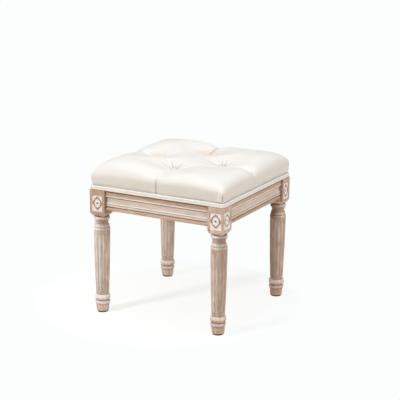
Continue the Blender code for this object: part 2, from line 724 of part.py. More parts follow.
def cage_mesh():
    """The cushion's coarse cage: a top grid whose lines pass through the tufts, and two rows of sides."""
    shares = [-share for share in CAGE_LINE_SHARES[:0:-1]] + list(CAGE_LINE_SHARES)
    shape = bmesh.new()
    bmesh.ops.create_grid(shape, x_segments=len(shares) - 1, y_segments=len(shares) - 1, size=1)
    step = 2 / (len(shares) - 1)
    for point in shape.verts:
        x_share = shares[round((point.co.x + 1) / step)]
        y_share = shares[round((point.co.y + 1) / step)]
        x, y = (COVER_HALF_SIDE * share - EDGE_INSET * int(share) for share in (x_share, y_share))
        point.co = (x, y, BOARD_TOP + crown(x_share, y_share))
    side_rows = (
        (COVER_HALF_SIDE + SIDE_BULGE, BOARD_TOP + SIDE_BULGE_HEIGHT),
        (COVER_HALF_SIDE, BOARD_BOTTOM),
    )
    for half_side, height in side_rows:
        edges = [edge for edge in shape.edges if edge.is_boundary]
        made = bmesh.ops.extrude_edge_only(shape, edges=edges)["geom"]
        for point in [item for item in made if isinstance(item, bmesh.types.BMVert)]:
            reach = max(abs(point.co.x), abs(point.co.y))
            pleated = min(abs(point.co.x), abs(point.co.y)) < CLEARANCE and height > BOARD_TOP
            out = half_side - SIDE_PLEAT_DEPTH if pleated else half_side
            point.co = (point.co.x * out / reach, point.co.y * out / reach, height)
    bmesh.ops.recalc_face_normals(shape, faces=shape.faces)
    sharpen_pleats(shape)
    return mesh_from(shape, "cage")


def sharpen_pleats(shape):
    """Tufts hold their depth, and the pleats from each tuft to its edge stay crisp."""
    vertex_crease = shape.verts.layers.float.new("crease_vert")
    edge_crease = shape.edges.layers.float.new("crease_edge")

    def on_pleat(point):
        across = min(abs(point.co.x), abs(point.co.y))
        along = max(abs(point.co.x), abs(point.co.y))
        return across < CLEARANCE and along > TUFT_REACH - CLEARANCE

    for point in shape.verts:
        if on_pleat(point) and abs(point.co.z - TUFT_SEAT) < CLEARANCE:
            point[vertex_crease] = 1
    for edge in shape.edges:
        if all(on_pleat(point) for point in edge.verts):
            edge[edge_crease] = PLEAT_SHARPNESS


def tufted_surface():
    """The cushion's open outer surface, down to the board's foot, with a flat seat for each button."""
    cage = add_object("cage", cage_mesh(), parts)
    rounding = cage.modifiers.new("Rounding", "SUBSURF")
    rounding.levels = 1
    rounding.render_levels = 1
    shape = bmesh.new()
    surface = baked_mesh(cage, "surface")
    shape.from_mesh(surface)
    bpy.data.meshes.remove(surface)
    tufts = [nearest_point(shape, x, y) for x, y in TUFT_PLACES]
    made = bmesh.ops.bevel(shape, geom=tufts, offset=TUFT_SEAT_WIDTH / 2, affect="VERTICES", segments=1)
    for point in made["verts"]:
        point.co.z = TUFT_SEAT
    hem = border_points(shape)
    waist = {edge.other_vert(point) for point in hem for edge in point.link_edges} - hem
    for row, height in ((hem, BOARD_BOTTOM), (waist, PAD_BOTTOM)):
        for point in row:
            x, y = on_rounded_square(point.co.x, point.co.y, COVER_HALF_SIDE, SEAT_CORNER_RADIUS)
            point.co = (x, y, height)
    bmesh.ops.triangulate(shape, faces=shape.faces)
    shape.normal_update()
    return shape


def nearest_point(shape, x, y):
    return min(shape.verts, key=lambda point: math.hypot(point.co.x - x, point.co.y - y))


def border_points(shape):
    return {point for edge in shape.edges if edge.is_boundary for point in edge.verts}


def add_cover():
    """The sewn cover, a shell that is open below and runs down over the board's edge."""
    item = add_object("cover", mesh_from(tufted_surface(), "cover"), parts)
    shell = item.modifiers.new("Thickness", "SOLIDIFY")
    shell.thickness = COVER_THICKNESS
    shell.offset = -1
    mesh = baked_mesh(item, "sewn")
    holes = twine_holes(TWINE_HOLE_RADIUS, TUFT_SEAT - COVER_THICKNESS - OVERRUN, TUFT_SEAT + OVERRUN)
    mesh = combined_mesh(mesh, [holes], "DIFFERENCE", "cover_mesh")
    add_part("seat_cover", smooth(mesh, math.radians(60)), cream_cover)


def add_foam_pad():
    """The pad that fills the cover, from the board's top to just under the cover."""
    shape = tufted_surface()
    depth = COVER_THICKNESS + PAD_CLEARANCE
    bmesh.ops.delete(shape, geom=list(border_points(shape)), context="VERTS")
    waist = border_points(shape)
    for point in shape.verts:
        point.co -= point.normal * depth
    half_side = COVER_HALF_SIDE - depth
    for point in waist:
        x, y = on_rounded_square(point.co.x, point.co.y, half_side, SEAT_CORNER_RADIUS - depth)
        point.co = (x, y, PAD_BOTTOM)
    bmesh.ops.holes_fill(shape, edges=[edge for edge in shape.edges if edge.is_boundary], sides=0)
    bmesh.ops.recalc_face_normals(shape, faces=shape.faces)
    holes = twine_holes(TWINE_HOLE_RADIUS, PAD_BOTTOM - OVERRUN, TUFT_SEAT + OVERRUN)
    mesh = combined_mesh(mesh_from(shape, "foam"), [holes], "DIFFERENCE", "foam_mesh")
    add_part("foam_pad", smooth(mesh, math.radians(60)), foam)


def welt_section():
    """The double welt's figure-eight section: two cords side by side, one above the other."""
    half_waist = math.sqrt(WELT_RADIUS**2 - (WELT_CORD_SPACING / 2) ** 2)
    start = math.atan2(-WELT_CORD_SPACING / 2, half_waist)
    sweep = math.pi - 2 * start
    for centre, first in ((WELT_CORD_SPACING / 2, start), (-WELT_CORD_SPACING / 2, start + math.pi)):
        for step in range(SMALL_ROUND_STEPS):
            angle = first + sweep * step / SMALL_ROUND_STEPS
            yield WELT_RADIUS * math.cos(angle), centre + WELT_RADIUS * math.sin(angle)


def add_welt():
    """The double welt round the foot of the cushion, swept round a rounded square."""
    section = bpy.data.curves.new("welt_section", "CURVE")
    section.dimensions = "2D"
    outline = section.splines.new("POLY")
    points = list(welt_section())
    outline.points.add(len(points) - 1)
    for point, (x, y) in zip(outline.points, points):
        point.co = (x, y, 0, 1)
    outline.use_cyclic_u = True
    section_item = add_object("welt_section", section, cutters)
    path = bpy.data.curves.new("welt", "CURVE")
    path.dimensions = "3D"
    path.twist_mode = "Z_UP"
    path.bevel_mode = "OBJECT"
    path.bevel_object = section_item
    route = list(rounded_square(WELT_HALF_SIDE, WELT_CORNER_RADIUS, WELT_CORNER_STEPS))
    line = path.splines.new("POLY")
    line.points.add(len(route) - 1)
    height = FRAME_TOP + CLEARANCE + WELT_RADIUS + WELT_CORD_SPACING / 2
    for point, (x, y) in zip(line.points, route):
        point.co = (x, y, height, 1)
    line.use_cyclic_u = True
    mesh = baked_mesh(add_object("welt", path, parts), "welt")
    bpy.data.objects.remove(section_item, do_unlink=True)
    recalculate(mesh)
    add_part("double_welt", smooth(mesh), cream_cover)


def add_buttons():
    """A covered button in each tuft, and the twine that ties it down under the board."""
    dome_steps = 3
    dome = [
        (BUTTON_RADIUS * math.cos(QUARTER * step / dome_steps), BUTTON_RIM
         + (BUTTON_HEIGHT - BUTTON_RIM) * math.sin(QUARTER * step / dome_steps))
        for step in range(dome_steps)
    ]
    shank_bottom = -BUTTON_SHANK_LENGTH
    profile = [(0, shank_bottom), (BUTTON_SHANK_RADIUS, shank_bottom), (BUTTON_SHANK_RADIUS, 0)]
    profile += [(BUTTON_RADIUS - BUTTON_RIM / 2, 0), *dome, (0, BUTTON_HEIGHT)]
    button = smooth(turned_mesh("button", profile, MIDDLE_ROUND_STEPS))
    twine_top = TUFT_SEAT - BUTTON_SHANK_LENGTH
    knot_top = BOARD_BOTTOM - CLEARANCE
    profile = [
        (0, knot_top - KNOT_HEIGHT),
        (KNOT_RADIUS, knot_top - KNOT_HEIGHT),
        (KNOT_RADIUS, knot_top),
        (TWINE_RADIUS, knot_top),
        (TWINE_RADIUS, twine_top),
        (0, twine_top),
    ]
    twine = smooth(turned_mesh("twine", profile, SMALL_ROUND_STEPS))
    for side, (x, y) in zip(SIDES, TUFT_PLACES):
        place = Matrix.Translation((x, y, TUFT_SEAT + CLEARANCE))
        add_part(f"tuft_button_{side}", button, cream_cover, place)
        add_part(f"tuft_twine_{side}", twine, twine_thread, Matrix.Translation((x, y, 0)))


clear_scene()
parts = new_collection("tufted_stool")
cutters = new_collection("cutters", shown=False)
stool = add_object("stool", None, parts)

limed_wood = new_material("limed_wood", (0.56, 0.42, 0.33), 0.65)
plain_wood = new_material("plain_wood", (0.50, 0.35, 0.22), 0.70)
plywood = new_material("plywood", (0.58, 0.43, 0.28), 0.75)
cream_cover = new_material("cream_cover", (0.90, 0.87, 0.80), 0.45)
foam = new_material("foam", (0.85, 0.80, 0.62), 0.95)
twine_thread = new_material("twine_thread", (0.80, 0.76, 0.66), 0.90)
steel = new_material("steel", (0.55, 0.55, 0.56), 0.35, 1.0)
glide_plastic = new_material("glide_plastic", (0.05, 0.045, 0.04), 0.50)

add_legs()
add_glides()
add_aprons()
add_dowels()
add_corner_blocks()
add_screws()
add_seat_board()
add_foam_pad()
add_cover()
add_welt()
add_buttons()
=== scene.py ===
import json
import bmesh
import bpy
from math import atan2, copysign, cos, degrees, exp, hypot, pi, radians, sin, sqrt
from mathutils import Matrix, Vector, noise

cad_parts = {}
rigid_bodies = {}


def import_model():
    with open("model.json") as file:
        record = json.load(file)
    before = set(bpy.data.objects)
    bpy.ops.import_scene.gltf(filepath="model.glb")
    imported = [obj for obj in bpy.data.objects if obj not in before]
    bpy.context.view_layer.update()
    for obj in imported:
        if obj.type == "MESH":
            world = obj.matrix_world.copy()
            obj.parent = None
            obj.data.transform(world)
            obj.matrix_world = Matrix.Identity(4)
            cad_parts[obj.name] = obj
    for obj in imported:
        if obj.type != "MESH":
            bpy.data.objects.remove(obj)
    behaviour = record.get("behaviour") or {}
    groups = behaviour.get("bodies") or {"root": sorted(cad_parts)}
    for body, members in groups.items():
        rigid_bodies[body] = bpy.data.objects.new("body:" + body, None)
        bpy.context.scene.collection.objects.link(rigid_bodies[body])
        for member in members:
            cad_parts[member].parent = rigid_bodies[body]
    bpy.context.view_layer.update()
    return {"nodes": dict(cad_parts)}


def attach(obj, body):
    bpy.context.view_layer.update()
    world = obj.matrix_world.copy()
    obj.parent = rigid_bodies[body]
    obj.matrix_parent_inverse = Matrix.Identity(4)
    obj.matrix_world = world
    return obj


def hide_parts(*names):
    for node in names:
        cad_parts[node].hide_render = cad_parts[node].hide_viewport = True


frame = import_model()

# leftovers of the startup file
for name in ("Cube", "Light", "Camera"):
    spare = bpy.data.objects.get(name)
    if spare and name not in frame["nodes"]:
        bpy.data.objects.remove(spare)

corners = ("front_right", "back_right", "back_left", "front_left")
sides = ("front", "right", "back", "left")
quarter = pi / 2


def deselectAll():
    bpy.ops.object.select_all(action="DESELECT")


def pick(*pieces):
    deselectAll()
    for piece in pieces:
        piece.select_set(True)
    bpy.context.view_layer.objects.active = pieces[0]


def editMode():
    bpy.ops.object.mode_set(mode="EDIT")


def objectMode():
    bpy.ops.object.mode_set(mode="OBJECT")


def startShape(name, add, **values):
    deselectAll()
    add(**values)
    piece = bpy.context.object
    piece.name = name
    return piece


def extrude(*way):
    bpy.ops.mesh.extrude_region_move(TRANSFORM_OT_translate={"value": way})


def resizeFlat(share, height):
    bpy.ops.transform.resize(value=(share, share, 1), center_override=(0, 0, height))


def selectAll():
    bpy.ops.mesh.select_all(action="SELECT")


def selectFaces(piece, wanted):
    bpy.ops.mesh.select_mode(type="FACE")
    bpy.ops.mesh.select_all(action="DESELECT")
    shape = bmesh.from_edit_mesh(piece.data)
    for face in shape.faces:
        face.select = wanted(face)
    shape.select_flush_mode()
    bmesh.update_edit_mesh(piece.data)


def setPlaces(piece, move):
    # moves every point of the mesh with move(x, y, z)
    for point in piece.data.vertices:
        point.co = move(*point.co)
    piece.data.update()


def paint(piece, **layers):
    # numbers on each point, which a material reads by the layer's name
    for name, worth in layers.items():
        layer = piece.data.attributes.new(name, "FLOAT", "POINT")
        for index, point in enumerate(piece.data.vertices):
            layer.data[index].value = worth(*point.co)


def shapeBy(piece, kind, **values):
    modifier = piece.modifiers.new("Shape", kind)
    for key, value in values.items():
        setattr(modifier, key, value)
    pick(piece)
    bpy.ops.object.modifier_apply(modifier=modifier.name)


def settle(piece):
    # the object goes back to the origin and keeps its place in its mesh
    pick(piece)
    bpy.ops.object.transform_apply(location=True, rotation=True, scale=True)
    return piece


def cleanUp(piece, angle=40):
    pick(piece)
    editMode()
    selectAll()
    bpy.ops.mesh.remove_doubles(threshold=0.000005)
    bpy.ops.mesh.normals_make_consistent(inside=False)
    objectMode()
    bpy.ops.object.shade_smooth_by_angle(angle=radians(angle))
    return piece


def copyTurned(piece, name, turns):
    # a copy with its own mesh, turned about the middle of the stool by quarter turns
    made = piece.copy()
    made.data = piece.data.copy()
    made.name = name
    made.data.name = name
    bpy.context.scene.collection.objects.link(made)
    made.rotation_euler = (0, 0, turns * quarter)
    return settle(made)


def finishPiece(piece, material, slot, *nodes):
    piece.data.materials.clear()
    piece.data.materials.append(material)
    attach(piece, "root")
    if nodes:
        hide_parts(*nodes)


def ramp(value, start, length):
    # rises smoothly from 0 at the start to 1, or falls back from there where the length is negative
    share = max(0.0, min(1.0, (value - start) / length))
    return share * share * (3 - 2 * share)


def hump(value, middle, reach):
    return exp(-((value - middle) / reach) ** 2)


def bow(start, end, bulge, steps):
    # (radius, height) points from start to end, bowed out along a half wave
    made = []
    for step in range(1, steps + 1):
        share = (1 - cos(pi * step / steps)) / 2
        radius = start[0] + (end[0] - start[0]) * share
        height = start[1] + (end[1] - start[1]) * share
        made.append((radius + bulge * sin(pi * step / steps), height))
    return made


woodFinish = {
    # brown glaze, also the colour of painted shade
    "glazeShade": (0.150, 0.080, 0.052),
    "bare": (0.345, 0.205, 0.135),
    "stain": (0.615, 0.415, 0.285),
    "blush": (0.690, 0.500, 0.390),
    # whitewash, also the colour of painted highlights
    "lime": (0.825, 0.745, 0.672),
    "white": (0.985, 0.972, 0.955),
    "ash": (0.580, 0.450, 0.395),
    "roughness": (0.38, 0.56),
}

coverFinish = {
    "cream": (0.830, 0.815, 0.782),
    "shade": (0.806, 0.786, 0.748),
    # painted warm shade on the flanks of the hollows
    "fold": (0.735, 0.660, 0.570),
    # painted dark shade in pleats and creases
    "crease": (0.330, 0.255, 0.195),
    # painted highlight on the welt and the near corner's roll
    "piping": (0.935, 0.920, 0.890),
    "roughness": (0.36, 0.50),
    "grainSize": 900,
    "grainDepth": 0.00006,
}


def emptyTree(holder):
    holder.use_nodes = True
    holder.node_tree.nodes.clear()
    return holder.node_tree


def startMaterial(name):
    made = bpy.data.materials.new(name)
    tree = emptyTree(made)
    shader = addNode(tree, "ShaderNodeBsdfPrincipled")
    addNode(tree, "ShaderNodeOutputMaterial", Surface=shader.outputs[0])
    return made, tree, shader


def feed(tree, socket, value):
    if isinstance(value, bpy.types.NodeSocket):
        tree.links.new(value, socket)
    else:
        socket.default_value = value


def setNode(tree, node, **values):
    # names with a capital letter are inputs, the others the node's own settings
    for key, value in values.items():
        if key[0].isupper():
            feed(tree, node.inputs[key.replace("_", " ")], value)
        else:
            setattr(node, key, value)
    return node


def addNode(tree, kind, **values):
    return setNode(tree, tree.nodes.new(kind), **values)


def placeCoords(tree, scale=(1, 1, 1)):
    coords = addNode(tree, "ShaderNodeTexCoord").outputs["Object"]
    return addNode(tree, "ShaderNodeMapping", Vector=coords, Scale=scale).outputs[0]


def noiseOf(tree, coords, size, detail, rough, twist=0.0):
    node = addNode(tree, "ShaderNodeTexNoise", Vector=coords, Scale=size, Detail=detail)
    return setNode(tree, node, Roughness=rough, Distortion=twist).outputs["Fac"]


def grainOf(tree, along, squeeze, *shape):
    # noise that is drawn out along the grain
    stretch = [1.0, 1.0, 1.0]
    stretch[along] = squeeze
    return noiseOf(tree, placeCoords(tree, stretch), *shape)


def spread(tree, value, low, high, toLow=0.0, toHigh=1.0, curve="LINEAR"):
    node = addNode(tree, "ShaderNodeMapRange", interpolation_type=curve, Value=value)
    return setNode(tree, node, From_Min=low, From_Max=high, To_Min=toLow, To_Max=toHigh).outputs[0]


def reckon(tree, how, first, second, clamp=False):
    node = addNode(tree, "ShaderNodeMath", operation=how, use_clamp=clamp)
    for socket, value in zip(node.inputs, (first, second)):
        feed(tree, socket, value)
    return node.outputs[0]


def blendColours(tree, amount, first, second):
    node = addNode(tree, "ShaderNodeMix", data_type="RGBA")
    for place, value in ((0, amount), (6, first), (7, second)):
        feed(tree, node.inputs[place], (*value, 1) if isinstance(value, tuple) else value)
    return node.outputs[2]


def painted(tree, name):
    return addNode(tree, "ShaderNodeAttribute", attribute_name=name).outputs["Fac"]


def finishShader(tree, shader, tone, rough, height, depth, strength=0.5, **values):
    bump = addNode(tree, "ShaderNodeBump", Strength=strength, Distance=depth, Height=height)
    setNode(tree, shader, Base_Color=tone, Roughness=rough, Normal=bump.outputs[0], **values)


def limedWood(name, along, patchy):
    # painted on the points: the amount of whitewash, which also carries painted highlights, of brown
    # glaze, which also carries painted shade, and of grey
    look = woodFinish
    made, tree, shader = startMaterial(name)
    fine = grainOf(tree, along, 0.055, 620, 5, 0.62)
    streak = grainOf(tree, along, 0.085, 190, 4, 0.58, 0.35)
    broad = grainOf(tree, along, 0.22, 42, 3, 0.5, 0.6)
    patch = noiseOf(tree, placeCoords(tree), 26, 3, 0.6)
    wood = blendColours(tree, spread(tree, streak, 0.36, 0.66), look["stain"], look["blush"])
    wood = blendColours(tree, spread(tree, fine, 0.60, 0.36, 0.0, 0.20 + 2.2 * patchy), wood, look["bare"])
    wood = blendColours(tree, spread(tree, broad, 0.52, 0.30, 0.0, 0.25), wood, look["bare"])
    wood = blendColours(tree, painted(tree, "ash"), wood, look["ash"])
    uneven = spread(tree, fine, 0.38, 0.62, -0.08 - 0.5 * patchy, 0.06 + 0.5 * patchy)
    thick = reckon(tree, "ADD", painted(tree, "lime"), spread(tree, streak, 0.35, 0.65, -patchy, patchy))
    thick = reckon(tree, "ADD", thick, spread(tree, patch, 0.35, 0.65, -0.6 * patchy, 0.6 * patchy))
    thick = reckon(tree, "ADD", thick, uneven, clamp=True)
    limed = blendColours(tree, spread(tree, thick, 0.10, 0.70), wood, look["lime"])
    limed = blendColours(tree, spread(tree, thick, 0.72, 1.0), limed, look["white"])
    glazeShaded = blendColours(tree, painted(tree, "dirt"), limed, look["glazeShade"])
    rough = spread(tree, thick, 0.0, 1.0, *look["roughness"])
    finishShader(tree, shader, glazeShaded, rough, fine, 0.00025, 0.6, Specular_IOR_Level=0.35)
    return made


def creamCover():
    # painted on the points: a painted highlight that makes the welt and the near corner's roll paler, a
    # painted warm shade on the flanks of the hollows ("fold") and painted dark shade in the bottoms of
    # pleats and creases ("crease")
    look = coverFinish
    made, tree, shader = startMaterial("creamLeatherette")
    coords = placeCoords(tree)
    cells = addNode(tree, "ShaderNodeTexVoronoi", feature="SMOOTH_F1", Vector=coords)
    grain = setNode(tree, cells, Scale=look["grainSize"]).outputs["Distance"]
    cloud = noiseOf(tree, coords, 9, 3, 0.5)
    uneven = noiseOf(tree, coords, 160, 4, 0.6)
    tone = blendColours(tree, spread(tree, cloud, 0.35, 0.65), look["shade"], look["cream"])
    tone = blendColours(tree, spread(tree, grain, 0.15, 0.75, 0.0, 0.10), tone, look["shade"])
    for layer in ("piping", "fold", "crease"):
        tone = blendColours(tree, painted(tree, layer), tone, look[layer])
    rough = spread(tree, uneven, 0.3, 0.7, *look["roughness"])
    height = reckon(tree, "ADD", reckon(tree, "MULTIPLY", grain, -0.8), uneven)
    finishShader(tree, shader, tone, rough, height, look["grainDepth"], 0.8, Specular_IOR_Level=0.40)
    return made


def plainWood(name, tone, dark, along, ply=0):
    # bare wood, with the edges of its veneers where it is plywood
    made, tree, shader = startMaterial(name)
    fine = grainOf(tree, along, 0.06, 420, 5, 0.6)
    broad = grainOf(tree, along, 0.06, 60, 3, 0.5, 0.8)
    wood = blendColours(tree, spread(tree, fine, 0.35, 0.65), dark, tone)
    wood = blendColours(tree, spread(tree, broad, 0.60, 0.35, 0.0, 0.45), wood, dark)
    if ply:
        place = addNode(tree, "ShaderNodeSeparateXYZ", Vector=placeCoords(tree, (1, 1, ply)))
        band = reckon(tree, "PINGPONG", place.outputs[2], 1.0)
        wood = blendColours(tree, spread(tree, band, 0.46, 0.54, 0.0, 0.28), wood, dark)
    finishShader(tree, shader, wood, spread(tree, fine, 0.3, 0.7, 0.62, 0.78), fine, 0.0003)
    return made


def speckled(name, pattern, tones, limits, roughness, depth, stretch=(1, 1, 1), **values):
    made, tree, shader = startMaterial(name)
    speck = noiseOf(tree, placeCoords(tree, stretch), *pattern)
    tone = blendColours(tree, spread(tree, speck, *limits), *tones)
    finishShader(tree, shader, tone, spread(tree, speck, 0.3, 0.7, *roughness), speck, depth, **values)
    return made


def waxedTwine():
    made, tree, shader = startMaterial("waxedTwine")
    wave = addNode(tree, "ShaderNodeTexWave", bands_direction="DIAGONAL", Vector=placeCoords(tree))
    turns = setNode(tree, wave, Scale=260, Distortion=1.5).outputs["Fac"]
    tone = blendColours(tree, turns, (0.62, 0.55, 0.43), (0.80, 0.74, 0.62))
    finishShader(tree, shader, tone, 0.6, turns, 0.0002, 0.7)
    return made


legWood = limedWood("limedWoodUpright", 2, 0.20)
railWoods = (limedWood("limedWoodAcross", 0, 0.08), limedWood("limedWoodDeep", 1, 0.08))
cover = creamCover()
blockWood = plainWood("sawnPine", (0.62, 0.45, 0.27), (0.42, 0.27, 0.14), 0)
plyWood = plainWood("birchPly", (0.66, 0.51, 0.33), (0.47, 0.33, 0.19), 0, 830)
dowelWood = plainWood("beechDowel", (0.60, 0.42, 0.26), (0.48, 0.31, 0.18), 2)
twine = waxedTwine()
nylonTones = ((0.018, 0.014, 0.011), (0.060, 0.050, 0.042))
nylon = speckled("glideNylon", (480, 4, 0.65), nylonTones, (0.4, 0.75), (0.42, 0.66), 0.0001, (1, 1, 0.4))
steelTones = ((0.60, 0.59, 0.57), (0.46, 0.45, 0.42))
steel = speckled("zincSteel", (700, 3, 0.6), steelTones, (0, 1), (0.28, 0.46), 0.00004, Metallic=1.0)
print("materials made")


leg = {
    "axis": 0.19025,
    "segments": 144,
    "body": (0.0600, 0.1862, 0.0190, 0.0046),  # foot, length, lower radius and its growth to the top
    "bodySwell": 0.0007,
    "bodySteps": 26,
    "blockSide": 0.0495,
    "blockBottom": 0.3023,
    "blockTop": 0.3704,
    "chamfer": ((0.0024, 0.0062), (0.0058, 0.0056)),  # inset and fall of the two steps under the block
    "edgeRound": 0.0009,
    "panel": (0.0354, 0.0490, 0.0022),
    "panelTop": 0.3557,
    "panelInsets": (0.0005, 0.0004),  # before and after the panel is sunk
    "panelCuts": 69,
    "flutes": 12,
    "fluteWidth": 0.0074,
    "fluteRadius": 0.0213,  # the body's where its width is measured
    "fluteDepth": 0.0023,
    "fluteEnds": (0.0671, 0.2399),
    "fluteRound": 0.0045,  # length of a flute's round end
    "fluteTurn": radians(10),
    "fluteStretch": (0.0640, 0.2440),  # where points slide to the flutes' edges
    "ring": (0.0328, 0.0390, 0.0062, 0.0020),  # width, height, band and relief of the carved ring
    "flowerRadius": 0.0068,
    "dotRadius": 0.0026,
    # (low, high, whitewash) of the turning's bands, the upper halves of the rings painted lighter as
    # painted highlight and their lower halves and the coves darker as painted shade, and (height, reach,
    # worth) of the glaze and painted shade in its grooves
    "washAndLightBands": (
        (0.0464, 0.0545, 0.72), (0.0400, 0.0464, 0.32), (0.0302, 0.0350, 0.62), (0.0252, 0.0302, 0.25),
        (0.2480, 0.2540, 0.48), (0.2540, 0.2562, 0.78), (0.2586, 0.2645, 0.66), (0.2852, 0.2902, 0.86),
        (0.2806, 0.2852, 0.42), (0.2645, 0.2685, 0.45), (0.2685, 0.2806, 0.12), (0.0000, 0.0250, 0.18),
        (0.0552, 0.0655, 0.15),
    ),
    "glazeShadeLines": (
        (0.0250, 0.0012, 0.62), (0.0376, 0.0022, 0.62), (0.0560, 0.0012, 0.55), (0.2474, 0.0009, 0.40),
        (0.2580, 0.0009, 0.24), (0.2690, 0.0012, 0.35), (0.2745, 0.0016, 0.30), (0.2800, 0.0016, 0.50),
        (0.2905, 0.0012, 0.70),
    ),
    # glaze and whitewash of the block, the same of the turning, partly wear and partly painted light and
    # shade, then heading and worth of the turning's painted shaded side
    "wearAndShade": {
        "front_right": (0.00, 0.03, 0.00, 0.00, -45, 0.25),
        "back_right": (0.05, -0.05, 0.06, -0.04, -125, 0.50),
        "back_left": (0.00, 0.00, 0.00, 0.26, -35, 0.08),
        "front_left": (0.06, -0.22, 0.00, 0.37, -30, 0.22),
    },
    "turningTop": 0.2908,
    "paintedLightWay": (-0.93, -0.37),  # the turning is painted lighter on this side, a painted highlight where the light falls
    "paintedLightWash": 0.15,
    "paintedShadeShares": ((0.2480, 1.7), (0.0600, 1.0), (0.0, 0.4)),  # painted shade on the shaded side: height and share of the worth above it
}


def bodyShare(height):
    return (height - leg["body"][0]) / leg["body"][1]


def legProfile():
    made = [(0.0150, 0.0043), (0.0167, 0.0043), (0.0176, 0.0047), (0.0181, 0.0057)]
    made += [(0.0185, 0.0110), (0.0190, 0.0170), (0.0194, 0.0225), (0.0195, 0.0240)]
    made += [(0.0196, 0.0250)] + bow((0.0199, 0.0252), (0.0203, 0.0348), 0.0019, 9)
    made += [(0.0199, 0.0352), (0.0196, 0.0362), (0.0195, 0.0376), (0.0197, 0.0392), (0.0203, 0.0400)]
    made += bow((0.0206, 0.0402), (0.0192, 0.0543), 0.0030, 12)
    made += [(0.0190, 0.0552), (0.0187, 0.0566), (0.0188, 0.0584), (0.0190, 0.0600)]
    low, high = leg["fluteEnds"]
    ends = [leg["fluteRound"] * share for share in (0, 0.06, 0.15, 0.28, 0.44, 0.62, 0.82, 1)]
    span = high - low - 2 * ends[-1]
    heights = [0.0625, 0.0650] + [low + end for end in ends]
    steps = leg["bodySteps"]
    heights += [low + ends[-1] + span * step / steps for step in range(1, steps)]
    heights += [high - end for end in reversed(ends)] + [0.2425, 0.2448]
    for height in heights:
        share = bodyShare(height)
        swell = leg["bodySwell"] * sin(pi * share)
        made.append((leg["body"][2] + leg["body"][3] * share + swell, height))
    made += [(0.0235, 0.2462), (0.0230, 0.2468), (0.0229, 0.2475), (0.0232, 0.2481)]
    made += bow((0.0234, 0.2483), (0.0227, 0.2566), 0.0007, 8)
    made += [(0.0222, 0.2572), (0.0217, 0.2578), (0.0216, 0.2585)]
    made += bow((0.0217, 0.2588), (0.0196, 0.2664), 0.0009, 9)
    made += [(0.0191, 0.2669)] + bow((0.0190, 0.2672), (0.0207, 0.2794), -0.0010, 12)
    made += [(0.0210, 0.2800), (0.0216, 0.2805)]
    made += bow((0.0219, 0.2808), (0.0206, 0.2900), 0.0021, 10)
    made += [(0.0196, 0.2904), (0.0180, 0.2908), (0.0150, 0.2940)]
    return made


def turnUp(name, profile, segments):
    # a lathe form: a disc is drawn up and resized along the profile
    radius, height = profile[0]
    piece = startShape(
        name, bpy.ops.mesh.primitive_circle_add, vertices=segments, radius=radius, fill_type="NGON",
        location=(0, 0, height),
    )
    settle(piece)
    editMode()
    for (oldRadius, oldHeight), (radius, height) in zip(profile, profile[1:]):
        extrude(0, 0, height - oldHeight)
        resizeFlat(radius / oldRadius, height)
    objectMode()
    return cleanUp(piece)


def fluteHollow(angle, height):
    # how deep the flute is cut at this place on the body
    pitch = 2 * pi / leg["flutes"]
    off = (angle - leg["fluteTurn"] + pitch / 2) % pitch - pitch / 2
    share = bodyShare(height)
    shrink = 0.86 + 0.14 * share
    half = leg["fluteWidth"] / 2 * shrink
    depth = leg["fluteDepth"] * shrink
    low, high = leg["fluteEnds"]
    over = max(0.0, low + half - height, height - high + half)
    across = off * (leg["body"][2] + leg["body"][3] * share)
    ball = (half * half + depth * depth) / (2 * depth)
    inside = ball * ball - across * across - over * over
    return max(0.0, sqrt(max(0.0, inside)) - ball + depth)


def onFlutes(z):
    return leg["fluteStretch"][0] < z < leg["fluteStretch"][1]


def carveFlutes(piece):
    # points slide round to the flutes' edges, then the flutes are pressed in
    pitch = 2 * pi / leg["flutes"]
    halfAngle = leg["fluteWidth"] / 2 / leg["fluteRadius"]
    places = [stop * halfAngle for stop in (0, 0.34, 0.64, 0.86, 1.0, 1.16)] + [pitch / 2]

    def move(x, y, z):
        if not onFlutes(z):
            return x, y, z
        radius, angle = hypot(x, y), atan2(y, x)
        turn = round((angle - leg["fluteTurn"]) / pitch) * pitch + leg["fluteTurn"]
        off = angle - turn
        step = min(6, round(abs(off) / (pitch / 12)))
        angle = turn + copysign(places[step], off)
        radius -= fluteHollow(angle, z)
        return radius * cos(angle), radius * sin(angle), z

    setPlaces(piece, move)


def ringPlace(x, z):
    # how far a place lies in from the outer edge of the carved ring, and the ring's breadth there
    width, height, band, _ = leg["ring"]
    angle = atan2(z / height, x / width)
    reach = hypot(x / (width / 2), z / (height / 2))
    points = (1 + cos(4 * angle)) / 2
    lobe = 1.0 - 0.17 * (1 - points) - 0.035 * abs(sin(4 * angle)) ** 3
    mean = width * height / hypot(height * cos(angle), width * sin(angle)) / 2
    return (lobe - reach) * mean, band * (0.66 + 0.46 * points ** 1.5), angle


def rosette(x, z):
    # the carving's height over its ground, for a place from the panel's middle
    out, band, angle = ringPlace(x, z)
    rise = 0.0
    if 0 < out < band:
        share = out / band
        rise = leg["ring"][3] * sin(pi * share) ** 0.55
        rise -= 0.0006 * hump(share, 0.5, 0.13)  # a vein along the leaf
        rise -= 0.0006 * abs(sin(4 * angle)) ** 14
    inner = hypot(x, z)
    if inner < leg["flowerRadius"]:
        petal = 0.0009 * abs(cos(2.5 * atan2(z, x) + quarter)) ** 0.7
        rise = max(rise, petal * sin(pi * inner / leg["flowerRadius"]) ** 0.7)
    return 0.0003 if inner < leg["dotRadius"] else rise


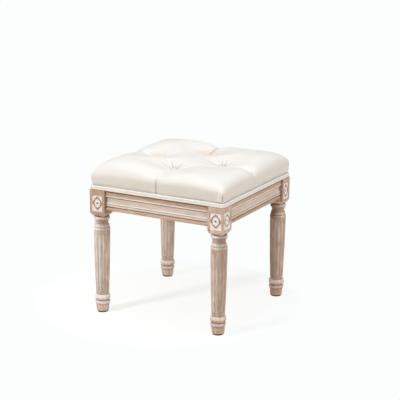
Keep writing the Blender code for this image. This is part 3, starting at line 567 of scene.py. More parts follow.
def makeBlock():
    side, bottom, top = leg["blockSide"], leg["blockBottom"], leg["blockTop"]
    width, height, depth = leg["panel"]
    middle, ground = leg["panelTop"] - height / 2, side / 2 - depth
    piece = startShape(
        "block", bpy.ops.mesh.primitive_cube_add, size=1, location=(0, 0, (top + bottom) / 2),
        scale=(side, side, top - bottom),
    )
    settle(piece)
    editMode()
    selectFaces(piece, lambda face: face.normal.z < -0.9)
    wide, low = side, bottom
    for inset, fall in leg["chamfer"]:
        low -= fall
        share = 1 - 2 * inset / wide
        wide *= share
        extrude(0, 0, -fall)
        resizeFlat(share, low)
    selectAll()
    bpy.ops.mesh.bevel(offset=leg["edgeRound"], segments=3, affect="EDGES", profile=0.5)
    across, deep, upward = Vector((1, 0, 0)), Vector((0, 1, 0)), Vector((0, 0, 1))
    for facing, aside in ((-deep, across), (across, deep)):
        for way, place, reach in ((aside, 0, width / 2), (upward, middle, height / 2)):
            for edge in (place + reach, place - reach):
                selectFaces(piece, lambda face: face.normal.dot(facing) > 0.99)
                bpy.ops.mesh.bisect(plane_co=way * edge, plane_no=way)

        def inPanel(face):
            spot = face.calc_center_median()
            inside = abs(spot.dot(aside)) < width / 2 and abs(spot.z - middle) < height / 2
            return face.normal.dot(facing) > 0.99 and inside

        selectFaces(piece, inPanel)
        bpy.ops.mesh.inset(thickness=leg["panelInsets"][0])
        extrude(*(facing * -depth))
        bpy.ops.mesh.inset(thickness=leg["panelInsets"][1])
        bpy.ops.mesh.subdivide(number_cuts=leg["panelCuts"])
    objectMode()

    def carve(x, y, z):
        if abs(y + ground) < 0.0001 and abs(x) < width / 2:
            return x, y - rosette(x, z - middle), z
        if abs(x - ground) < 0.0001 and abs(y) < width / 2:
            return x + rosette(y, z - middle), y, z
        return x, y, z

    setPlaces(piece, carve)
    return cleanUp(piece, 35)


def onPanel(x, y, z):
    # (across, up) from the middle of the sunk panel that a point belongs to
    half, depth = leg["blockSide"] / 2, leg["panel"][2]
    up = z - leg["panelTop"] + leg["panel"][1] / 2
    for out, across in ((-y, x), (x, y)):
        if abs(across) < leg["panel"][0] / 2 and half - depth - 0.0001 < out < half - 0.00005:
            if abs(up) < leg["panel"][1] / 2:
                return across, up
    return None


def blockLimeAndLight(x, y, z):
    # whitewash on the panel's ground and inside the ring, bare carving, and painted light on the chamfered
    # foot of the block, which faces down
    place = onPanel(x, y, z)
    if not place:
        return 0.25 + 0.10 * ramp(z, leg["blockBottom"] + 0.004, -0.006)
    out, band, _ = ringPlace(*place)
    edge = min(out, band - out)
    return 1.6 - 1.9 * ramp(edge, -0.0004, 0.0014)


def blockDirt(x, y, z):
    place = onPanel(x, y, z)
    if not place:
        # painted shade on the two sides towards the rails
        return 0.50 * ramp(max(-x, y), leg["blockSide"] / 2 - 0.0008, 0.0008)
    across, up = place
    # painted shadow under the top edge of the sunk panel
    dirt = 0.90 * ramp(up, leg["panel"][1] / 2 - 0.0023, 0.0011)
    out, band, _ = ringPlace(across, up)
    inside = min(out, band - out)
    dirt = max(dirt, 0.42 * ramp(inside, 0, 0.0012) - 0.16 * ramp(inside, 0.0014, 0.0010))
    return max(dirt, 0.95 * (1 - ramp(hypot(across, up), 0.0024, 0.0010)))


def bandWorth(bands, z, worth):
    for low, high, inside in bands:
        if low <= z <= high:
            worth = inside
    return worth


def grooveGlazeShade(lines, z, least):
    return max(least, *(worth * hump(z, place, reach) for place, reach, worth in lines))


def turningLimeAndLight(x, y, z):
    hollow = fluteHollow(atan2(y, x), z) / leg["fluteDepth"]
    # whitewash in the flutes, with painted highlight and shade on the bands
    return bandWorth(leg["washAndLightBands"], z, 0.22 + 0.44 * hollow ** 2)


def turningGlazeShade(x, y, z):
    hollow = fluteHollow(atan2(y, x), z) / leg["fluteDepth"]
    # glaze and painted shade in the grooves, glaze on the flutes' ridges
    return grooveGlazeShade(leg["glazeShadeLines"], z, 0.10 - 0.06 * hollow if onFlutes(z) else 0.0)


def turningAsh(x, y, z):
    return 0.15 + 0.25 * ramp(z, 0.0600, 0.0200) * ramp(z, 0.2490, -0.0020)


def weatherAndShade(piece, wearAndShade):
    # glaze and whitewash differ from leg to leg, partly as wear and partly as painted light and shade, and
    # each turning is painted lighter on one side and darker on its shaded side
    blockGlaze, blockWashAndLight, glazeShade, washAndLight, heading, worth = wearAndShade
    points = piece.data.vertices
    middle = sum((point.co for point in points), Vector()) / len(points)
    paintedShadeWay = Vector((cos(radians(heading)), sin(radians(heading))))
    paintedLightWay = Vector(leg["paintedLightWay"])
    limes, glazeShadeAmounts = (piece.data.attributes[name].data for name in ("lime", "dirt"))
    for point, lime, dirt in zip(points, limes, glazeShadeAmounts):
        if point.co.z > leg["turningTop"]:
            lime.value += blockWashAndLight
            dirt.value += blockGlaze * (1 - dirt.value)
        else:
            way = (point.co - middle).xy.normalized()
            # painted shade on the turning's shaded side, strongest round the collar, and painted light on
            # its other side
            deep = worth * next(share for above, share in leg["paintedShadeShares"] if point.co.z > above)
            lime.value += washAndLight + leg["paintedLightWash"] * way.dot(paintedLightWay)
            dirt.value += (glazeShade + deep * max(0.0, way.dot(paintedShadeWay)) ** 2) * (1 - dirt.value)


def makeLegs():
    first = turnUp("turned", legProfile(), leg["segments"])
    carveFlutes(first)
    paint(first, lime=turningLimeAndLight, dirt=turningGlazeShade, ash=turningAsh)
    block = makeBlock()
    paint(block, lime=blockLimeAndLight, dirt=blockDirt)
    pick(first, block)
    bpy.ops.object.join()
    first.location = (leg["axis"], -leg["axis"], 0)
    settle(first)
    cleanUp(first, 38)
    for turns, corner in enumerate(corners):
        piece = copyTurned(first, f"fluted_leg_{corner}", turns)
        weatherAndShade(piece, leg["wearAndShade"][corner])
        finishPiece(piece, legWood, "limed_wood", f"leg_{corner}")
    bpy.data.objects.remove(first)


makeLegs()
print("legs made")


rail = {
    "half": 0.1652,  # from the middle to the blocks
    "gap": 0.0003,
    "front": 0.2150,
    "back": 0.1885,
    "steps": 60,
    # as for the legs; the bright bands at the fascia's lower edge and at the fillet are painted
    # highlights, and the glaze lines carry painted shade under the fascia and in the grooves
    "washAndLightBands": (
        (0.3100, 0.3246, 0.20), (0.3296, 0.3318, 0.40), (0.3246, 0.3296, 0.72), (0.3352, 0.3500, 0.66),
        (0.3318, 0.3352, 0.95), (0.3521, 0.3546, 1.05), (0.3546, 0.3700, 0.20),
    ),
    "glazeShadeLines": (
        (0.3509, 0.0011, 0.62), (0.3309, 0.0007, 0.30), (0.3232, 0.0010, 0.62), (0.3120, 0.0016, 0.35),
    ),
    "rightDarker": -0.10,  # the right rail is painted a little darker
}


def railSection():
    # (inset from the blocks' faces, height) down the moulded face
    made = [(0.0095, 0.3725), (0.0095, 0.3690), (0.0064, 0.3674), (0.0053, 0.3669), (0.0050, 0.3663)]
    made += [(0.0050, 0.3625), (0.0050, 0.3585), (0.0050, 0.3544), (0.0051, 0.3535), (0.0056, 0.3529)]
    made += [(0.0066, 0.3525), (0.0098, 0.3520), (0.0106, 0.3512), (0.0104, 0.3502), (0.0092, 0.3492)]
    for step in range(11):
        made.append((0.0090 + 0.0014 * sin(pi * step / 10), 0.3483 - 0.0127 * step / 10))
    made += [(0.0086, 0.3348), (0.0078, 0.3342), (0.0072, 0.3334), (0.0071, 0.3327), (0.0075, 0.3320)]
    made += [(0.0084, 0.3315), (0.0088, 0.3309), (0.0084, 0.3303), (0.0076, 0.3299), (0.0068, 0.3292)]
    made += [(0.0065, 0.3282), (0.0065, 0.3268), (0.0068, 0.3256), (0.0077, 0.3248), (0.0098, 0.3243)]
    made += [(0.0105, 0.3234), (0.0100, 0.3225), (0.0088, 0.3219)]
    for step in range(13):
        made.append((0.0084 - 0.0034 * sin(pi * step / 12) ** 0.8, 0.3217 - 0.0096 * step / 12))
    made += [(0.0090, 0.3120), (0.0265, 0.3120), (0.0265, 0.3725)]
    return made


def onBack(y):
    return -y < rail["back"] + 0.001


def railLimeAndLight(x, y, z):
    # whitewash with painted highlights on the fascia's lower edge and the fillet
    return 0.05 if onBack(y) else bandWorth(rail["washAndLightBands"], z, 0.3)


def railGlazeShade(x, y, z):
    if onBack(y):
        return 0.0
    # painted shade under the welt at the top of the fascia, glaze and painted shade in the grooves, and
    # painted shade where the rails meet the blocks
    dirt = grooveGlazeShade(rail["glazeShadeLines"], z, 0.05 + 0.55 * ramp(z, 0.3658, 0.0022))
    return max(dirt, 0.85 * (1 - (rail["half"] - abs(x)) / 0.0050))


def makeRails():
    half, section = rail["half"] - rail["gap"], railSection()
    piece = startShape(
        "moulding", bpy.ops.mesh.primitive_circle_add, vertices=len(section), radius=0.01, fill_type="NGON"
    )
    for point, (inset, height) in zip(piece.data.vertices, section):
        point.co = (-half, inset - rail["front"], height)
    editMode()
    selectAll()
    for step in range(rail["steps"]):
        extrude(2 * half / rail["steps"], 0, 0)
    objectMode()
    cleanUp(piece, 32)
    paint(piece, lime=railLimeAndLight, dirt=railGlazeShade)
    for turns, side in enumerate(sides):
        made = copyTurned(piece, f"moulded_rail_{side}", turns)
        if side == "right":
            for lime in made.data.attributes["lime"].data:
                lime.value += rail["rightDarker"]
        finishPiece(made, railWoods[turns % 2], "limed_wood", f"apron_{side}")
    bpy.data.objects.remove(piece)


makeRails()
print("rails made")


seat = {
    "reach": 0.2150,  # half width of the cushion at its fullest
    "tuftFloor": 0.4287,
    "tuftRadius": 0.006,
    "pleatFoot": 0.3845,
    "toneFoot": 0.3850,
    "pinchOff": 0.0012,  # of the corner's fold from the corner itself
    "lines": 74,  # grid lines from the middle to the shoulder
    "shoulderRings": 8,
    "shoulder": (0.0159, 0.0112),
    "wallTop": 0.4121,
    "wallFoot": 0.3855,
    "wallRings": 10,
    "wallTuck": 0.0040,  # how far the wall draws in by its foot
    "puffs": {"far": 0.0358, "left": 0.0341, "right": 0.0291, "near": 0.0220, "middle": 0.0227},
    "cornerFall": {"far": 0.0030, "left": 0.0080, "right": 0.0020, "near": 0.0045},
    "puffReach": 0.150,
    "puffPower": 6.0,
    "cornerRadius": (0.0055, 0.0110),
    "cornerAway": 0.285,
    "hollow": (0.108, 1.5),  # reach and steepness of the hollow round a tuft
    "foldDepth": 0.0032,  # the broad folds between tufts
    "creaseDepth": 0.0042,
    "edgeDepth": 0.0158,
    "pleatShares": ((1.0, 1.0), (0.62, 0.45), (1.0, 1.0), (1.15, 1.0)),  # of the pleats and their creases
    # how dark the painted shade is in each tuft's pleat over the edge
    "creaseShadeWorths": (0.46, 0.10, 0.50, 0.50),
    "wallDepth": 0.0038,
    "fanDepth": 0.0070,
    # small pleats round each tuft: heading, strength and how far out they run
    "fans": (
        ((128, 1.0, 0.058), (109, 0.6, 0.040), (90, 1.0, 0.050), (66, 0.7, 0.048), (163, 0.7, 0.055),
         (20, 0.5, 0.050), (-60, 0.4, 0.040), (-125, 0.4, 0.040)),
        ((120, 1.0, 0.044), (99, 1.0, 0.046), (76, 0.9, 0.045), (165, 0.9, 0.085), (28, 0.5, 0.045),
         (-60, 0.4, 0.040), (-125, 0.4, 0.040)),
        ((-45, 0.5, 0.040), (-140, 0.5, 0.040), (10, 0.4, 0.040)),
        ((45, 0.3, 0.040), (-40, 0.5, 0.040), (-140, 0.4, 0.040)),
    ),
}
# (half side, height) where the cover turns in over the welt
tuck = (
    (0.2109, 0.3841), (0.2107, 0.3833), (0.2103, 0.3826), (0.2098, 0.3819), (0.2093, 0.3811),
    (0.2088, 0.3800), (0.2084, 0.3780), (0.2083, 0.3734),
)
# way out, place of the tuft, and how far its pleat strays to the side by the edge
tufts = (
    (Vector((0, -1)), Vector((-0.0020, -0.1025)), 0.000),
    (Vector((1, 0)), Vector((0.1030, -0.0060)), -0.018),
    (Vector((0, 1)), Vector((-0.0030, 0.1015)), 0.004),
    (Vector((-1, 0)), Vector((-0.1110, -0.0020)), -0.004),
)


def ringShape(index):
    # (half side, height, corner radius, lean of the surface) of one ring of the cushion
    lines, shoulderRings, top = seat["lines"], seat["shoulderRings"], seat["wallTop"]
    wide, tall = seat["shoulder"]
    flat = seat["reach"] - wide
    low, high = seat["cornerRadius"]
    if index <= lines:
        half = flat * index / lines
        return half, top + tall, high * ramp(half / flat, 0.55, 0.45), quarter
    if index <= lines + shoulderRings:
        lean = quarter * (1 - (index - lines) / shoulderRings)
        return flat + wide * cos(lean) ** 0.93, top + tall * sin(lean) ** 0.93, high, lean
    step = index - lines - shoulderRings
    if step <= seat["wallRings"]:
        share = step / seat["wallRings"]
        height = top + (seat["wallFoot"] - top) * share
        half = seat["reach"] - seat["wallTuck"] * share ** 1.9
        return half, height, low + (high - low) * ramp(height, 0.3840, 0.024), 0.0
    half, height = tuck[step - seat["wallRings"] - 1]
    return half, height, half - 0.2064, 0.0


def onRing(half, radius, share):
    # along half a side of the ring: share 0 is its middle and 1 its corner
    straight = half - radius
    length = straight + radius * pi / 4
    along = share * length
    if along <= straight:
        return half, along
    turn = (along - straight) / max(radius, 1e-9)
    return straight + radius * cos(turn), straight + radius * sin(turn)


def crownRise(x, y):
    # the filling stands a little higher in some puffs than in others
    gaps = [max(1e-6, seat["reach"] - abs(value)) for value in (x, y)]
    gap = (gaps[0] ** -2.4 + gaps[1] ** -2.4) ** (-1 / 2.4)
    right, back = ((1 + sin(quarter * max(-1, min(1, value / 0.09)))) / 2 for value in (x, y))
    puffs = seat["puffs"]
    tall = (1 - right) * (back * puffs["far"] + (1 - back) * puffs["left"])
    tall += right * (back * puffs["right"] + (1 - back) * puffs["near"])
    tall += (puffs["middle"] - tall) * hump(hypot(x, y), 0, 0.06)
    return tall * (1 - (1 - min(1, gap / seat["puffReach"])) ** seat["puffPower"])


def edgeRise(x, y):
    # the puffs stand up between their pleats and fall to the corners of the cushion
    puff = ("left" if x < 0 else "near") if y < 0 else ("far" if x < 0 else "right")
    corner = hypot(seat["reach"] - abs(x), seat["reach"] - abs(y))
    rise = -seat["cornerFall"][puff] * max(0.0, 1 - corner / 0.075) ** 1.6
    rise += (0.0038 if x > 0 else 0.0015) * hump(abs(x), 0.100, 0.050) * ramp(y, -0.12, -0.07)
    return rise + 0.0048 * hump(abs(y), 0.100, 0.075) * ramp(x, 0.12, 0.07)


def valley(off, width, power):
    return max(0.0, 1 - abs(off) / width) ** power


def betweenTufts(x, y):
    # the broad folds and thin creases between neighbouring tufts
    folds, crease = [], 0.0
    for (_, start, _), (_, end, _) in zip(tufts, tufts[1:] + tufts[:1]):
        way = end - start
        spot = Vector((x, y)) - start
        share = spot.dot(way) / way.length_squared
        near = max(0.0, min(1.0, share))
        deep = seat["foldDepth"] * (1 + 0.8 * (2 * near - 1) ** 2)
        folds.append(deep * valley((spot - way * near).length, 0.0356, 2.0))
        if 0 < share < 1:
            off = (spot.x * way.y - spot.y * way.x) / way.length - 0.0035 * sin(pi * share)
            fade = 0.40 + 0.60 * abs(2 * share - 1) ** 1.5
            deep = seat["creaseDepth"] * fade
            crease = max(crease, deep * (0.6 * valley(off, 0.0050, 1.3) + 0.4 * valley(off, 0.015, 1.8)))
    return folds, crease


def pleatOff(x, y, tuft):
    # how far out from its tuft a place lies, and how far to the side of the pleat that runs over the edge
    out, spot, stray = tuft
    side = Vector((-out.y, out.x))
    away = Vector((x, y)) - spot
    along = away.dot(out)
    share = max(0.0, min(1.0, along / (seat["reach"] - spot.dot(out))))
    return along, away.dot(side) - (stray - spot.dot(side)) * share, share


def edgeDrop(x, y, wall):
    # the pleats from the tufts over the edge and down the wall, from 0 at its top to 1 at its foot
    drops, crease = [], 0.0
    for tuft, (foldShare, cutShare) in zip(tufts, seat["pleatShares"]):
        outward = Vector((x, y)).dot(tuft[0])
        if outward < 0:
            continue
        along, off, share = pleatOff(x, y, tuft)
        lean = ramp(outward, 0.190, 0.022)
        deep = seat["edgeDepth"] * foldShare
        deep += (seat["wallDepth"] - deep) * lean
        fade = 1 - 0.25 * wall - 0.75 * ramp(wall, 0.45, 0.20)
        gap = hypot(off, min(0.0, along))
        drops.append(deep * fade * valley(gap, 0.0546 - 0.010 * lean, 2.0))
        if along > 0:
            cut = cutShare * (0.0008 + 0.0040 * ramp(share, 0.80, 0.20)) * (1 - 0.35 * wall)
            cut *= ramp(along, seat["tuftRadius"], 0.012)
            crease = max(crease, cut * valley(off, 0.0034, 1.0))
    return drops, crease


def fanDrop(x, y):
    # how deep the little folds that run out from each tuft are, and how dark the painted shade in their
    # bottoms is
    drop = tone = 0.0
    for (_, place, _), fans in zip(tufts, seat["fans"]):
        spot = Vector((x, y)) - place
        radius = spot.length
        if not seat["tuftRadius"] < radius < 0.090:
            continue
        heading = degrees(atan2(spot.y, spot.x))
        for angle, worth, reach in fans:
            turn = radians((heading - angle + 180) % 360 - 180)
            if abs(turn) > quarter / 2 or radius > reach:
                continue
            off = radius * sin(turn)
            fade = ramp(radius, seat["tuftRadius"], 0.007) * (1 - radius / reach) ** 0.8 * worth
            drop = max(drop, seat["fanDepth"] * fade * valley(off, 0.0020 + 0.075 * radius, 1.2))
            tone = max(tone, fade * valley(off, 0.0033, 0.9))
    return drop, tone


def drawIn(x, y):
    # grid lines close up towards the pleats over the edge
    spot = Vector((x, y))
    for tuft in tufts:
        along, off, _ = pleatOff(x, y, tuft)
        if along > -0.01:
            side = Vector((-tuft[0].y, tuft[0].x))
            spot -= side * (0.62 * off * hump(off, 0, 0.018) * ramp(along, -0.01, 0.02))
    return spot


def padPoint(a, b):
    index = max(abs(a), abs(b))
    half, height, radius, lean = ringShape(index)
    x = y = 0.0
    if index:
        along, across = (a, b) if abs(a) >= abs(b) else (b, a)
        out, off = onRing(half, radius, abs(across) / index)
        out, off = copysign(out, along), copysign(off, across)
        x, y = (out, off) if abs(a) >= abs(b) else (off, out)
    x, y = spot = drawIn(x, y)
    height += crownRise(x, y) + edgeRise(x, y) * ramp(height, 0.395, 0.025)
    wall = max(0.0, min(1.0, (seat["wallTop"] - height) / (seat["wallTop"] - tuck[-1][1])))
    drops, small = edgeDrop(x, y, wall)
    depth = max(0.0, height - seat["tuftFloor"])
    gaps = [(spot - place).length for _, place, _ in tufts]
    if index <= seat["lines"]:
        folds, crease = betweenTufts(x, y)
        drops += folds
        small = max(small, crease, fanDrop(x, y)[0])
    lift = sin(lean)
    shallow = max(drops, default=0.0)
    drops += [depth * valley(max(0.0, gap - seat["tuftRadius"]), *seat["hollow"]) for gap in gaps]
    drop = min(sum(value ** 4 for value in drops) ** 0.25, max(depth, shallow))
    drop += small * ramp(min(gaps), seat["tuftRadius"], 0.008)
    # the cover stands up a little round each button
    drop -= 0.0016 * hump(min(gaps), 0.0175, 0.0050) * lift
    # soft unevenness of the filling
    drop += 0.0008 * noise.noise(Vector((x * 14, y * 14, height * 14)) + Vector((3, 7, 1))) * (1 - wall)
    straight = half - radius
    outward = spot - Vector((max(-straight, min(straight, x)), max(-straight, min(straight, y))))
    outward = outward.normalized() if radius > 0.001 and outward.length > 1e-6 else Vector((0, 0))
    if lean < quarter and outward.length < 0.5:
        outward = Vector((copysign(1, x), 0)) if abs(x) > abs(y) else Vector((0, copysign(1, y)))
    if index > seat["lines"]:
        # light gathers over the welt
        gather = 0.5 + 0.5 * noise.noise(Vector((x * 42, y * 42, height * 12)))
        gather *= ramp(height, 0.418, -0.030) * ramp(height, seat["pleatFoot"], 0.003)
        drop += 0.0010 * gather
        drop += cornerFold(x, y, height)
        # the wall draws in less at the corners
        by = ramp(min(abs(x), abs(y)), 0.170, 0.035) * ramp(height, 0.3838, 0.0020)
        share = (seat["wallTop"] - height) / (seat["wallTop"] - seat["wallFoot"])
        drop -= 0.85 * seat["wallTuck"] * by * max(0.0, min(1.0, share)) ** 1.9
    drawn = spot - outward * drop * cos(lean)
    return drawn.x, drawn.y, height - drop * lift


def cornerOff(x, y):
    # how far along the wall a place lies from the corner
    return (atan2(abs(y), abs(x)) - pi / 4) * seat["cornerAway"] * (1 if x * y < 0 else -1)


def cornerFold(x, y, height):
    # a pinched fold up each corner from the welt, beside a small full roll; deepest at the near corner
    off = cornerOff(x, y)
    pinch = ramp(height, 0.410, -0.012) * ramp(height, seat["pleatFoot"], 0.002)
    roll = ramp(height, 0.422, -0.016) * ramp(height, seat["pleatFoot"], 0.004)
    fold = 0.0044 * pinch * valley(off - seat["pinchOff"], 0.0030, 1.1)
    fold -= 0.0042 * roll * valley(off - 0.0070, 0.0042, 1.0)
    return (1.0 if x > 0 > y else 0.3) * fold


def foldShade(x, y, z):
    # how far a place lies on the far flanks of the hollows, which get a painted warm shade
    tone = 0.0
    for index, tuft in enumerate(tufts):
        away = Vector((x, y)) - tuft[1]
        if z > 0.42 and away.length > 1e-6:
            facing = 0.5 + 0.5 * away.normalized().dot(Vector((-0.47, 0.88)))
            start, reach, worth = (0.012, 0.034, 0.26) if index < 2 else (0.018, 0.028, 1.0)
            tone = max(tone, worth * facing * valley(max(0.0, away.length - start), reach, 0.9))
    return tone


def creaseShade(x, y, z):
    # painted shade in the bottoms of the pleats over the edge, of the corner folds, and of the creases and
    # small folds close to a tuft
    tone = 0.0
    for tuft, worth in zip(tufts, seat["creaseShadeWorths"]):
        along, off, share = pleatOff(x, y, tuft)
        if along > 0 and z > seat["toneFoot"]:
            worth *= ramp(share, 0.7, 0.2) * ramp(z, 0.421, -0.010)
            tone = max(tone, worth * valley(off, 0.0021, 0.8))
    if z < 0.412:
        up = ramp(z, 0.409, -0.008) * ramp(z, seat["toneFoot"], 0.002)
        worth = 0.88 if x > 0 > y else 0.22
        return max(tone, worth * up * valley(cornerOff(x, y) - seat["pinchOff"], 0.0018, 0.8))
    if z > 0.425:
        _, crease = betweenTufts(x, y)
        near = min((Vector((x, y)) - tuft[1]).length for tuft in tufts)
        crease = ramp(crease / seat["creaseDepth"], 0.45, 0.5) * (1 - ramp(near, 0.03, 0.035))
        tone = max(tone, 0.42 * crease, 1.15 * fanDrop(x, y)[1] if near < 0.09 else 0.0)
        along, off, _ = pleatOff(x, y, tufts[2])
        if along > 0:
            tone = max(tone, 0.90 * (1 - ramp(along, 0.03, 0.06)) * valley(off, 0.0028, 0.8))
        tone *= ramp(near, seat["tuftRadius"], 0.006)
    return tone


def rollHighlight(x, y, z):
    # painted highlight on the roll beside the near corner's fold
    if not (x > 0 > y and z < 0.416):
        return 0.0
    up = ramp(z, 0.416, -0.012) * ramp(z, seat["toneFoot"], 0.003)
    return up * valley(cornerOff(x, y) - 0.0075, 0.0062, 0.8)


def makeCushion():
    count = seat["lines"] + seat["shoulderRings"] + seat["wallRings"] + len(tuck)
    piece = startShape(
        "tufted_cushion", bpy.ops.mesh.primitive_grid_add, size=2, x_subdivisions=2 * count,
        y_subdivisions=2 * count,
    )
    setPlaces(piece, lambda x, y, z: padPoint(round(x * count), round(y * count)))
    shapeBy(piece, "SUBSURF", levels=1)
    editMode()
    bpy.ops.mesh.select_mode(type="EDGE")
    bpy.ops.mesh.select_all(action="DESELECT")
    bpy.ops.mesh.select_non_manifold(extend=False)
    # the hem turns in under the board's edge and up to the board's top
    extrude(0, 0, 0)
    resizeFlat(0.9916, 0)
    extrude(0, 0, 0.0118)
    bpy.ops.mesh.edge_face_add()
    objectMode()
    cleanUp(piece, 80)
    paint(piece, fold=foldShade, crease=creaseShade, piping=rollHighlight)
    finishPiece(piece, cover, "cream_cover", "seat_cover", "foam_pad")


makeCushion()
print("cushion made")


welt = {
    "half": 0.2124,
    "cornerRadius": 0.0058,
    "cord": 0.00312,
    "heights": (0.3739, 0.3796),
    "sides": 20,
    "cornerSteps": 10,
    "straightSteps": 56,
    "strip": (0.0012, 0.3728, 0.0080, 0.0014),  # inset, foot, height and thickness
}


def weltPath():
    # points and outward ways round the rounded square
    half, radius = welt["half"], welt["cornerRadius"]
    straight = half - radius
    made = []
    for side in range(4):
        turn = Matrix.Rotation(side * quarter, 2)
        for step in range(welt["straightSteps"]):
            off = -straight + 2 * straight * step / welt["straightSteps"]
            made.append((turn @ Vector((half, off)), turn @ Vector((1, 0))))
        for step in range(welt["cornerSteps"]):
            angle = quarter * step / welt["cornerSteps"]
            way = Vector((cos(angle), sin(angle)))
            made.append((turn @ (Vector((straight, straight)) + way * radius), turn @ way))
    return made


def makeWelt():
    path = weltPath()
    cords = []
    for level, height in enumerate(welt["heights"]):
        cord = startShape(
            "sewn_double_welt", bpy.ops.mesh.primitive_torus_add, major_segments=len(path),
            minor_segments=welt["sides"], major_radius=0.2, minor_radius=welt["cord"],
        )
        for index, point in enumerate(cord.data.vertices):
            ring, around = divmod(index, welt["sides"])
            spot, way = path[ring]
            angle = 2 * pi * around / welt["sides"]
            ripple = noise.noise(Vector((spot.x * 70, spot.y * 70, level * 5 + 0.5)))
            thick = welt["cord"] * (1 + 0.035 * ripple)
            point.co = (*(spot + way * thick * cos(angle)), height + thick * sin(angle))
        cords.append(cord)
    # the strip that both cords are sewn into, behind them
    inset, foot, tall, thick = welt["strip"]
    strip = startShape("strip", bpy.ops.mesh.primitive_circle_add, vertices=len(path), radius=0.2)
    for point, (spot, way) in zip(strip.data.vertices, path):
        point.co = (*(spot - way * inset), foot)
    editMode()
    selectAll()
    extrude(0, 0, tall)
    selectAll()
    bpy.ops.mesh.normals_make_consistent(inside=False)
    objectMode()
    shapeBy(strip, "SOLIDIFY", thickness=thick, offset=0)
    pick(*cords, strip)
    bpy.ops.object.join()
    piece = cords[0]
    settle(piece)
    cleanUp(piece, 60)
    # the welt is painted paler all over, a painted highlight
    paint(piece, piping=lambda x, y, z: 0.9)
    finishPiece(piece, cover, "cream_cover", "double_welt")


makeWelt()
print("welt made")


button = {"rim": 0.0104, "waist": 0.0024, "bottom": 0.4271, "height": 0.0062, "folds": 9}


def makeButtons():
    bottom, tall, rim, waist = button["bottom"], button["height"], button["rim"], button["waist"]
    profile = [(0.0006, bottom), (0.0070, bottom), (0.0098, bottom + 0.0004)]
    profile += bow((rim, bottom + 0.0008), (rim, bottom + waist), 0.0006, 4)
    for step in range(1, 10):
        angle = quarter * step / 10
        profile.append((rim * cos(angle), bottom + waist + (tall - waist) * sin(angle)))
    profile.append((0.0006, bottom + tall))
    piece = turnUp("button", profile, 48)

    def pucker(x, y, z):
        # shallow folds round the rim, where the cover is gathered under
        near = ramp(hypot(x, y), 0.006, 0.005)
        share = 1 - 0.022 * near * abs(sin(button["folds"] * atan2(y, x)))
        return x * share, y * share, z

    setPlaces(piece, pucker)
    # painted shade on the buttons, which sit down in the hollows
    paint(piece, fold=lambda x, y, z: 0.25, crease=lambda x, y, z: 0.15)
    for side, (_, spot, _) in zip(sides, tufts):
        made = copyTurned(piece, f"covered_button_{side}", 0)
        made.location = (*spot, 0)
        settle(made)
        finishPiece(made, cover, "cream_cover", f"tuft_button_{side}")
    bpy.data.objects.remove(piece)


makeButtons()
print("buttons made")


def repaint():
    # looks of the solids that are shown as they are
    looks = (
        ("glide_", nylon), ("corner_block_", blockWood), ("rail_screw_", steel), ("seat_screw_", steel),
        ("tuft_twine_", twine), ("dowel_", dowelWood), ("seat_board", plyWood),
    )
    for name, node in frame["nodes"].items():
        for start, material in looks:
            if name.startswith(start):
                node.data.materials.clear()
                node.data.materials.append(material)


repaint()


studio = {
    "backdrop": (0.974, 0.991, 0.982),
    "floor": (0.350, 0.353, 0.430),
    "nearGlow": (0.986, 0.991, 0.936),  # under the stool, so that its shadow on the floor is warm
    "floorTint": (0.430, 0.378, 0.330),  # what the floor gives back to the stool
    "bounce": (0.600, 0.530, 0.460),
    "world": (1.0, 0.955, 0.910),
    "worldStrength": 0.40,
    "floorRadius": 14,
    "floorMiddle": (-0.08, 0.00, 0),
    "floorFade": (0.24, 0.42),  # how far from there the floor's own shading fades out
    "floorGlow": (0.60, 0.26),  # its least share of plain glow, and what the camera sees more
    "aim": (0, 0, 0.3),
    # place, size, power and colour of each lamp
    "overheadSoftbox": ((-0.05, -0.60, 3.0), 2.4, 58.5, (0.965, 1.0, 1.035)),
    "keySoftbox": ((-1.15, -2.80, 3.10), 1.0, 22, (1.0, 0.985, 0.965)),
    "sideSoftbox": ((3.20, -0.10, 1.60), 1.4, 24, (1.0, 0.960, 0.930)),
    "floorLamp": ((-1.64, -3.12, 2.29), 0.55, 400, (1.0, 1.0, 1.0)),
    "floorFill": ((-1.64, -3.12, 2.29), 0.55, 180, (1.0, 1.0, 1.0)),
}

view = {
    "azimuth": 28.28,
    "elevation": 14.87,
    "roll": 0.55,
    "sensor": 36,
    "lens": 114.13,
    "distance": 3.791884,
    "aside": 0.023693,
    "above": 0.306877,
}


def seenBy(tree, *rays):
    # 1 for rays of these kinds, 0 for others
    seen = addNode(tree, "ShaderNodeLightPath")
    amount = 0.0
    for ray in rays:
        amount = reckon(tree, "MAXIMUM", amount, seen.outputs[f"Is {ray} Ray"])
    return amount


def mixShaders(tree, kind, amount, first, second):
    mix = addNode(tree, "ShaderNodeMixShader")
    for socket, value in zip(mix.inputs, (amount, first.outputs[0], second.outputs[0])):
        feed(tree, socket, value)
    addNode(tree, kind, Surface=mix.outputs[0])


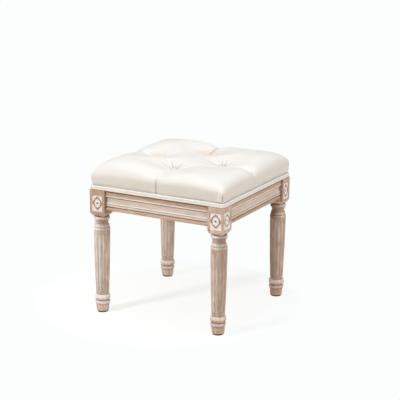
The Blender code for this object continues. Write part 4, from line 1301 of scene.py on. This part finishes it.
def makeFloor():
    floor = startShape(
        "studio_floor", bpy.ops.mesh.primitive_circle_add, vertices=96, radius=studio["floorRadius"],
        fill_type="NGON",
    )
    made = bpy.data.materials.new("studioFloor")
    tree = emptyTree(made)
    shifted = addNode(tree, "ShaderNodeVectorMath", operation="SUBTRACT")
    for socket, value in zip(shifted.inputs, (placeCoords(tree), studio["floorMiddle"])):
        feed(tree, socket, value)
    length = addNode(tree, "ShaderNodeVectorMath", operation="LENGTH", Vector=shifted.outputs[0])
    far = spread(tree, length.outputs["Value"], *studio["floorFade"], curve="SMOOTHSTEP")
    seen = seenBy(tree, "Camera", "Glossy", "Transmission")
    shown = blendColours(tree, far, studio["nearGlow"], studio["backdrop"])
    glow = addNode(
        tree, "ShaderNodeEmission", Color=blendColours(tree, seen, studio["bounce"], shown), Strength=1.0
    )
    plain = addNode(
        tree, "ShaderNodeBsdfDiffuse", Color=blendColours(tree, seen, studio["floorTint"], studio["floor"])
    )
    least, more = studio["floorGlow"]
    near = reckon(tree, "ADD", reckon(tree, "MULTIPLY", seen, more), least)
    amount = reckon(tree, "MAXIMUM", reckon(tree, "MULTIPLY", far, seen), near)
    mixShaders(tree, "ShaderNodeOutputMaterial", amount, plain, glow)
    floor.data.materials.append(made)
    return floor


def makeWorld():
    world = bpy.data.worlds.new("studioWorld")
    bpy.context.scene.world = world
    tree = emptyTree(world)
    soft, white = (
        addNode(tree, "ShaderNodeBackground", Color=(*studio[name], 1), Strength=strength)
        for name, strength in (("world", studio["worldStrength"]), ("backdrop", 1.0))
    )
    mixShaders(tree, "ShaderNodeOutputWorld", seenBy(tree, "Camera", "Transmission"), soft, white)


def addLamp(name, place, size, power, colour):
    lamp = bpy.data.lights.new(name, "AREA")
    lamp.shape = "SQUARE"
    lamp.size = size
    lamp.energy = power
    lamp.color = colour
    item = bpy.data.objects.new(name, lamp)
    bpy.context.scene.collection.objects.link(item)
    item.location = place
    item.rotation_euler = (Vector(place) - Vector(studio["aim"])).to_track_quat("Z", "Y").to_euler()
    return item


def keepTo(lamp, lit, blocking):
    # the lamp lights these pieces alone, and only those cast its shadow
    for role, pieces in (("receiver", lit), ("blocker", blocking)):
        group = bpy.data.collections.new(f"{lamp.name}_{role}")
        for piece in pieces:
            group.objects.link(piece)
        setattr(lamp.light_linking, f"{role}_collection", group)


def makeCamera():
    turn, rise, roll = (radians(view[key]) for key in ("azimuth", "elevation", "roll"))
    back = Vector((sin(turn) * cos(rise), -cos(turn) * cos(rise), sin(rise)))
    right = Vector((cos(turn), sin(turn), 0))
    up = back.cross(right)
    place = back * view["distance"] + right * view["aside"] + up * view["above"]
    across = right * cos(roll) + up * sin(roll)
    over = up * cos(roll) - right * sin(roll)
    lens = bpy.data.cameras.new("studioCamera")
    lens.sensor_width = view["sensor"]
    lens.lens = view["lens"]
    lens.clip_end = 60
    camera = bpy.data.objects.new("studioCamera", lens)
    bpy.context.scene.collection.objects.link(camera)
    camera.matrix_world = Matrix.Translation(place) @ Matrix((across, over, back)).transposed().to_4x4()
    bpy.context.scene.camera = camera


floor = makeFloor()
makeWorld()
for lampName in ("overheadSoftbox", "keySoftbox", "sideSoftbox"):
    addLamp(lampName, *studio[lampName])
# the streaks of shadow that run back from the feet, the left foot's the deepest
for lampName, blocking in (("floorLamp", corners[3:]), ("floorFill", corners)):
    floorLamp = addLamp(lampName, *studio[lampName])
    keepTo(floorLamp, [floor], [bpy.data.objects[f"fluted_leg_{corner}"] for corner in blocking])
makeCamera()
bpy.context.scene.view_settings.view_transform = "Standard"
print("studio made")
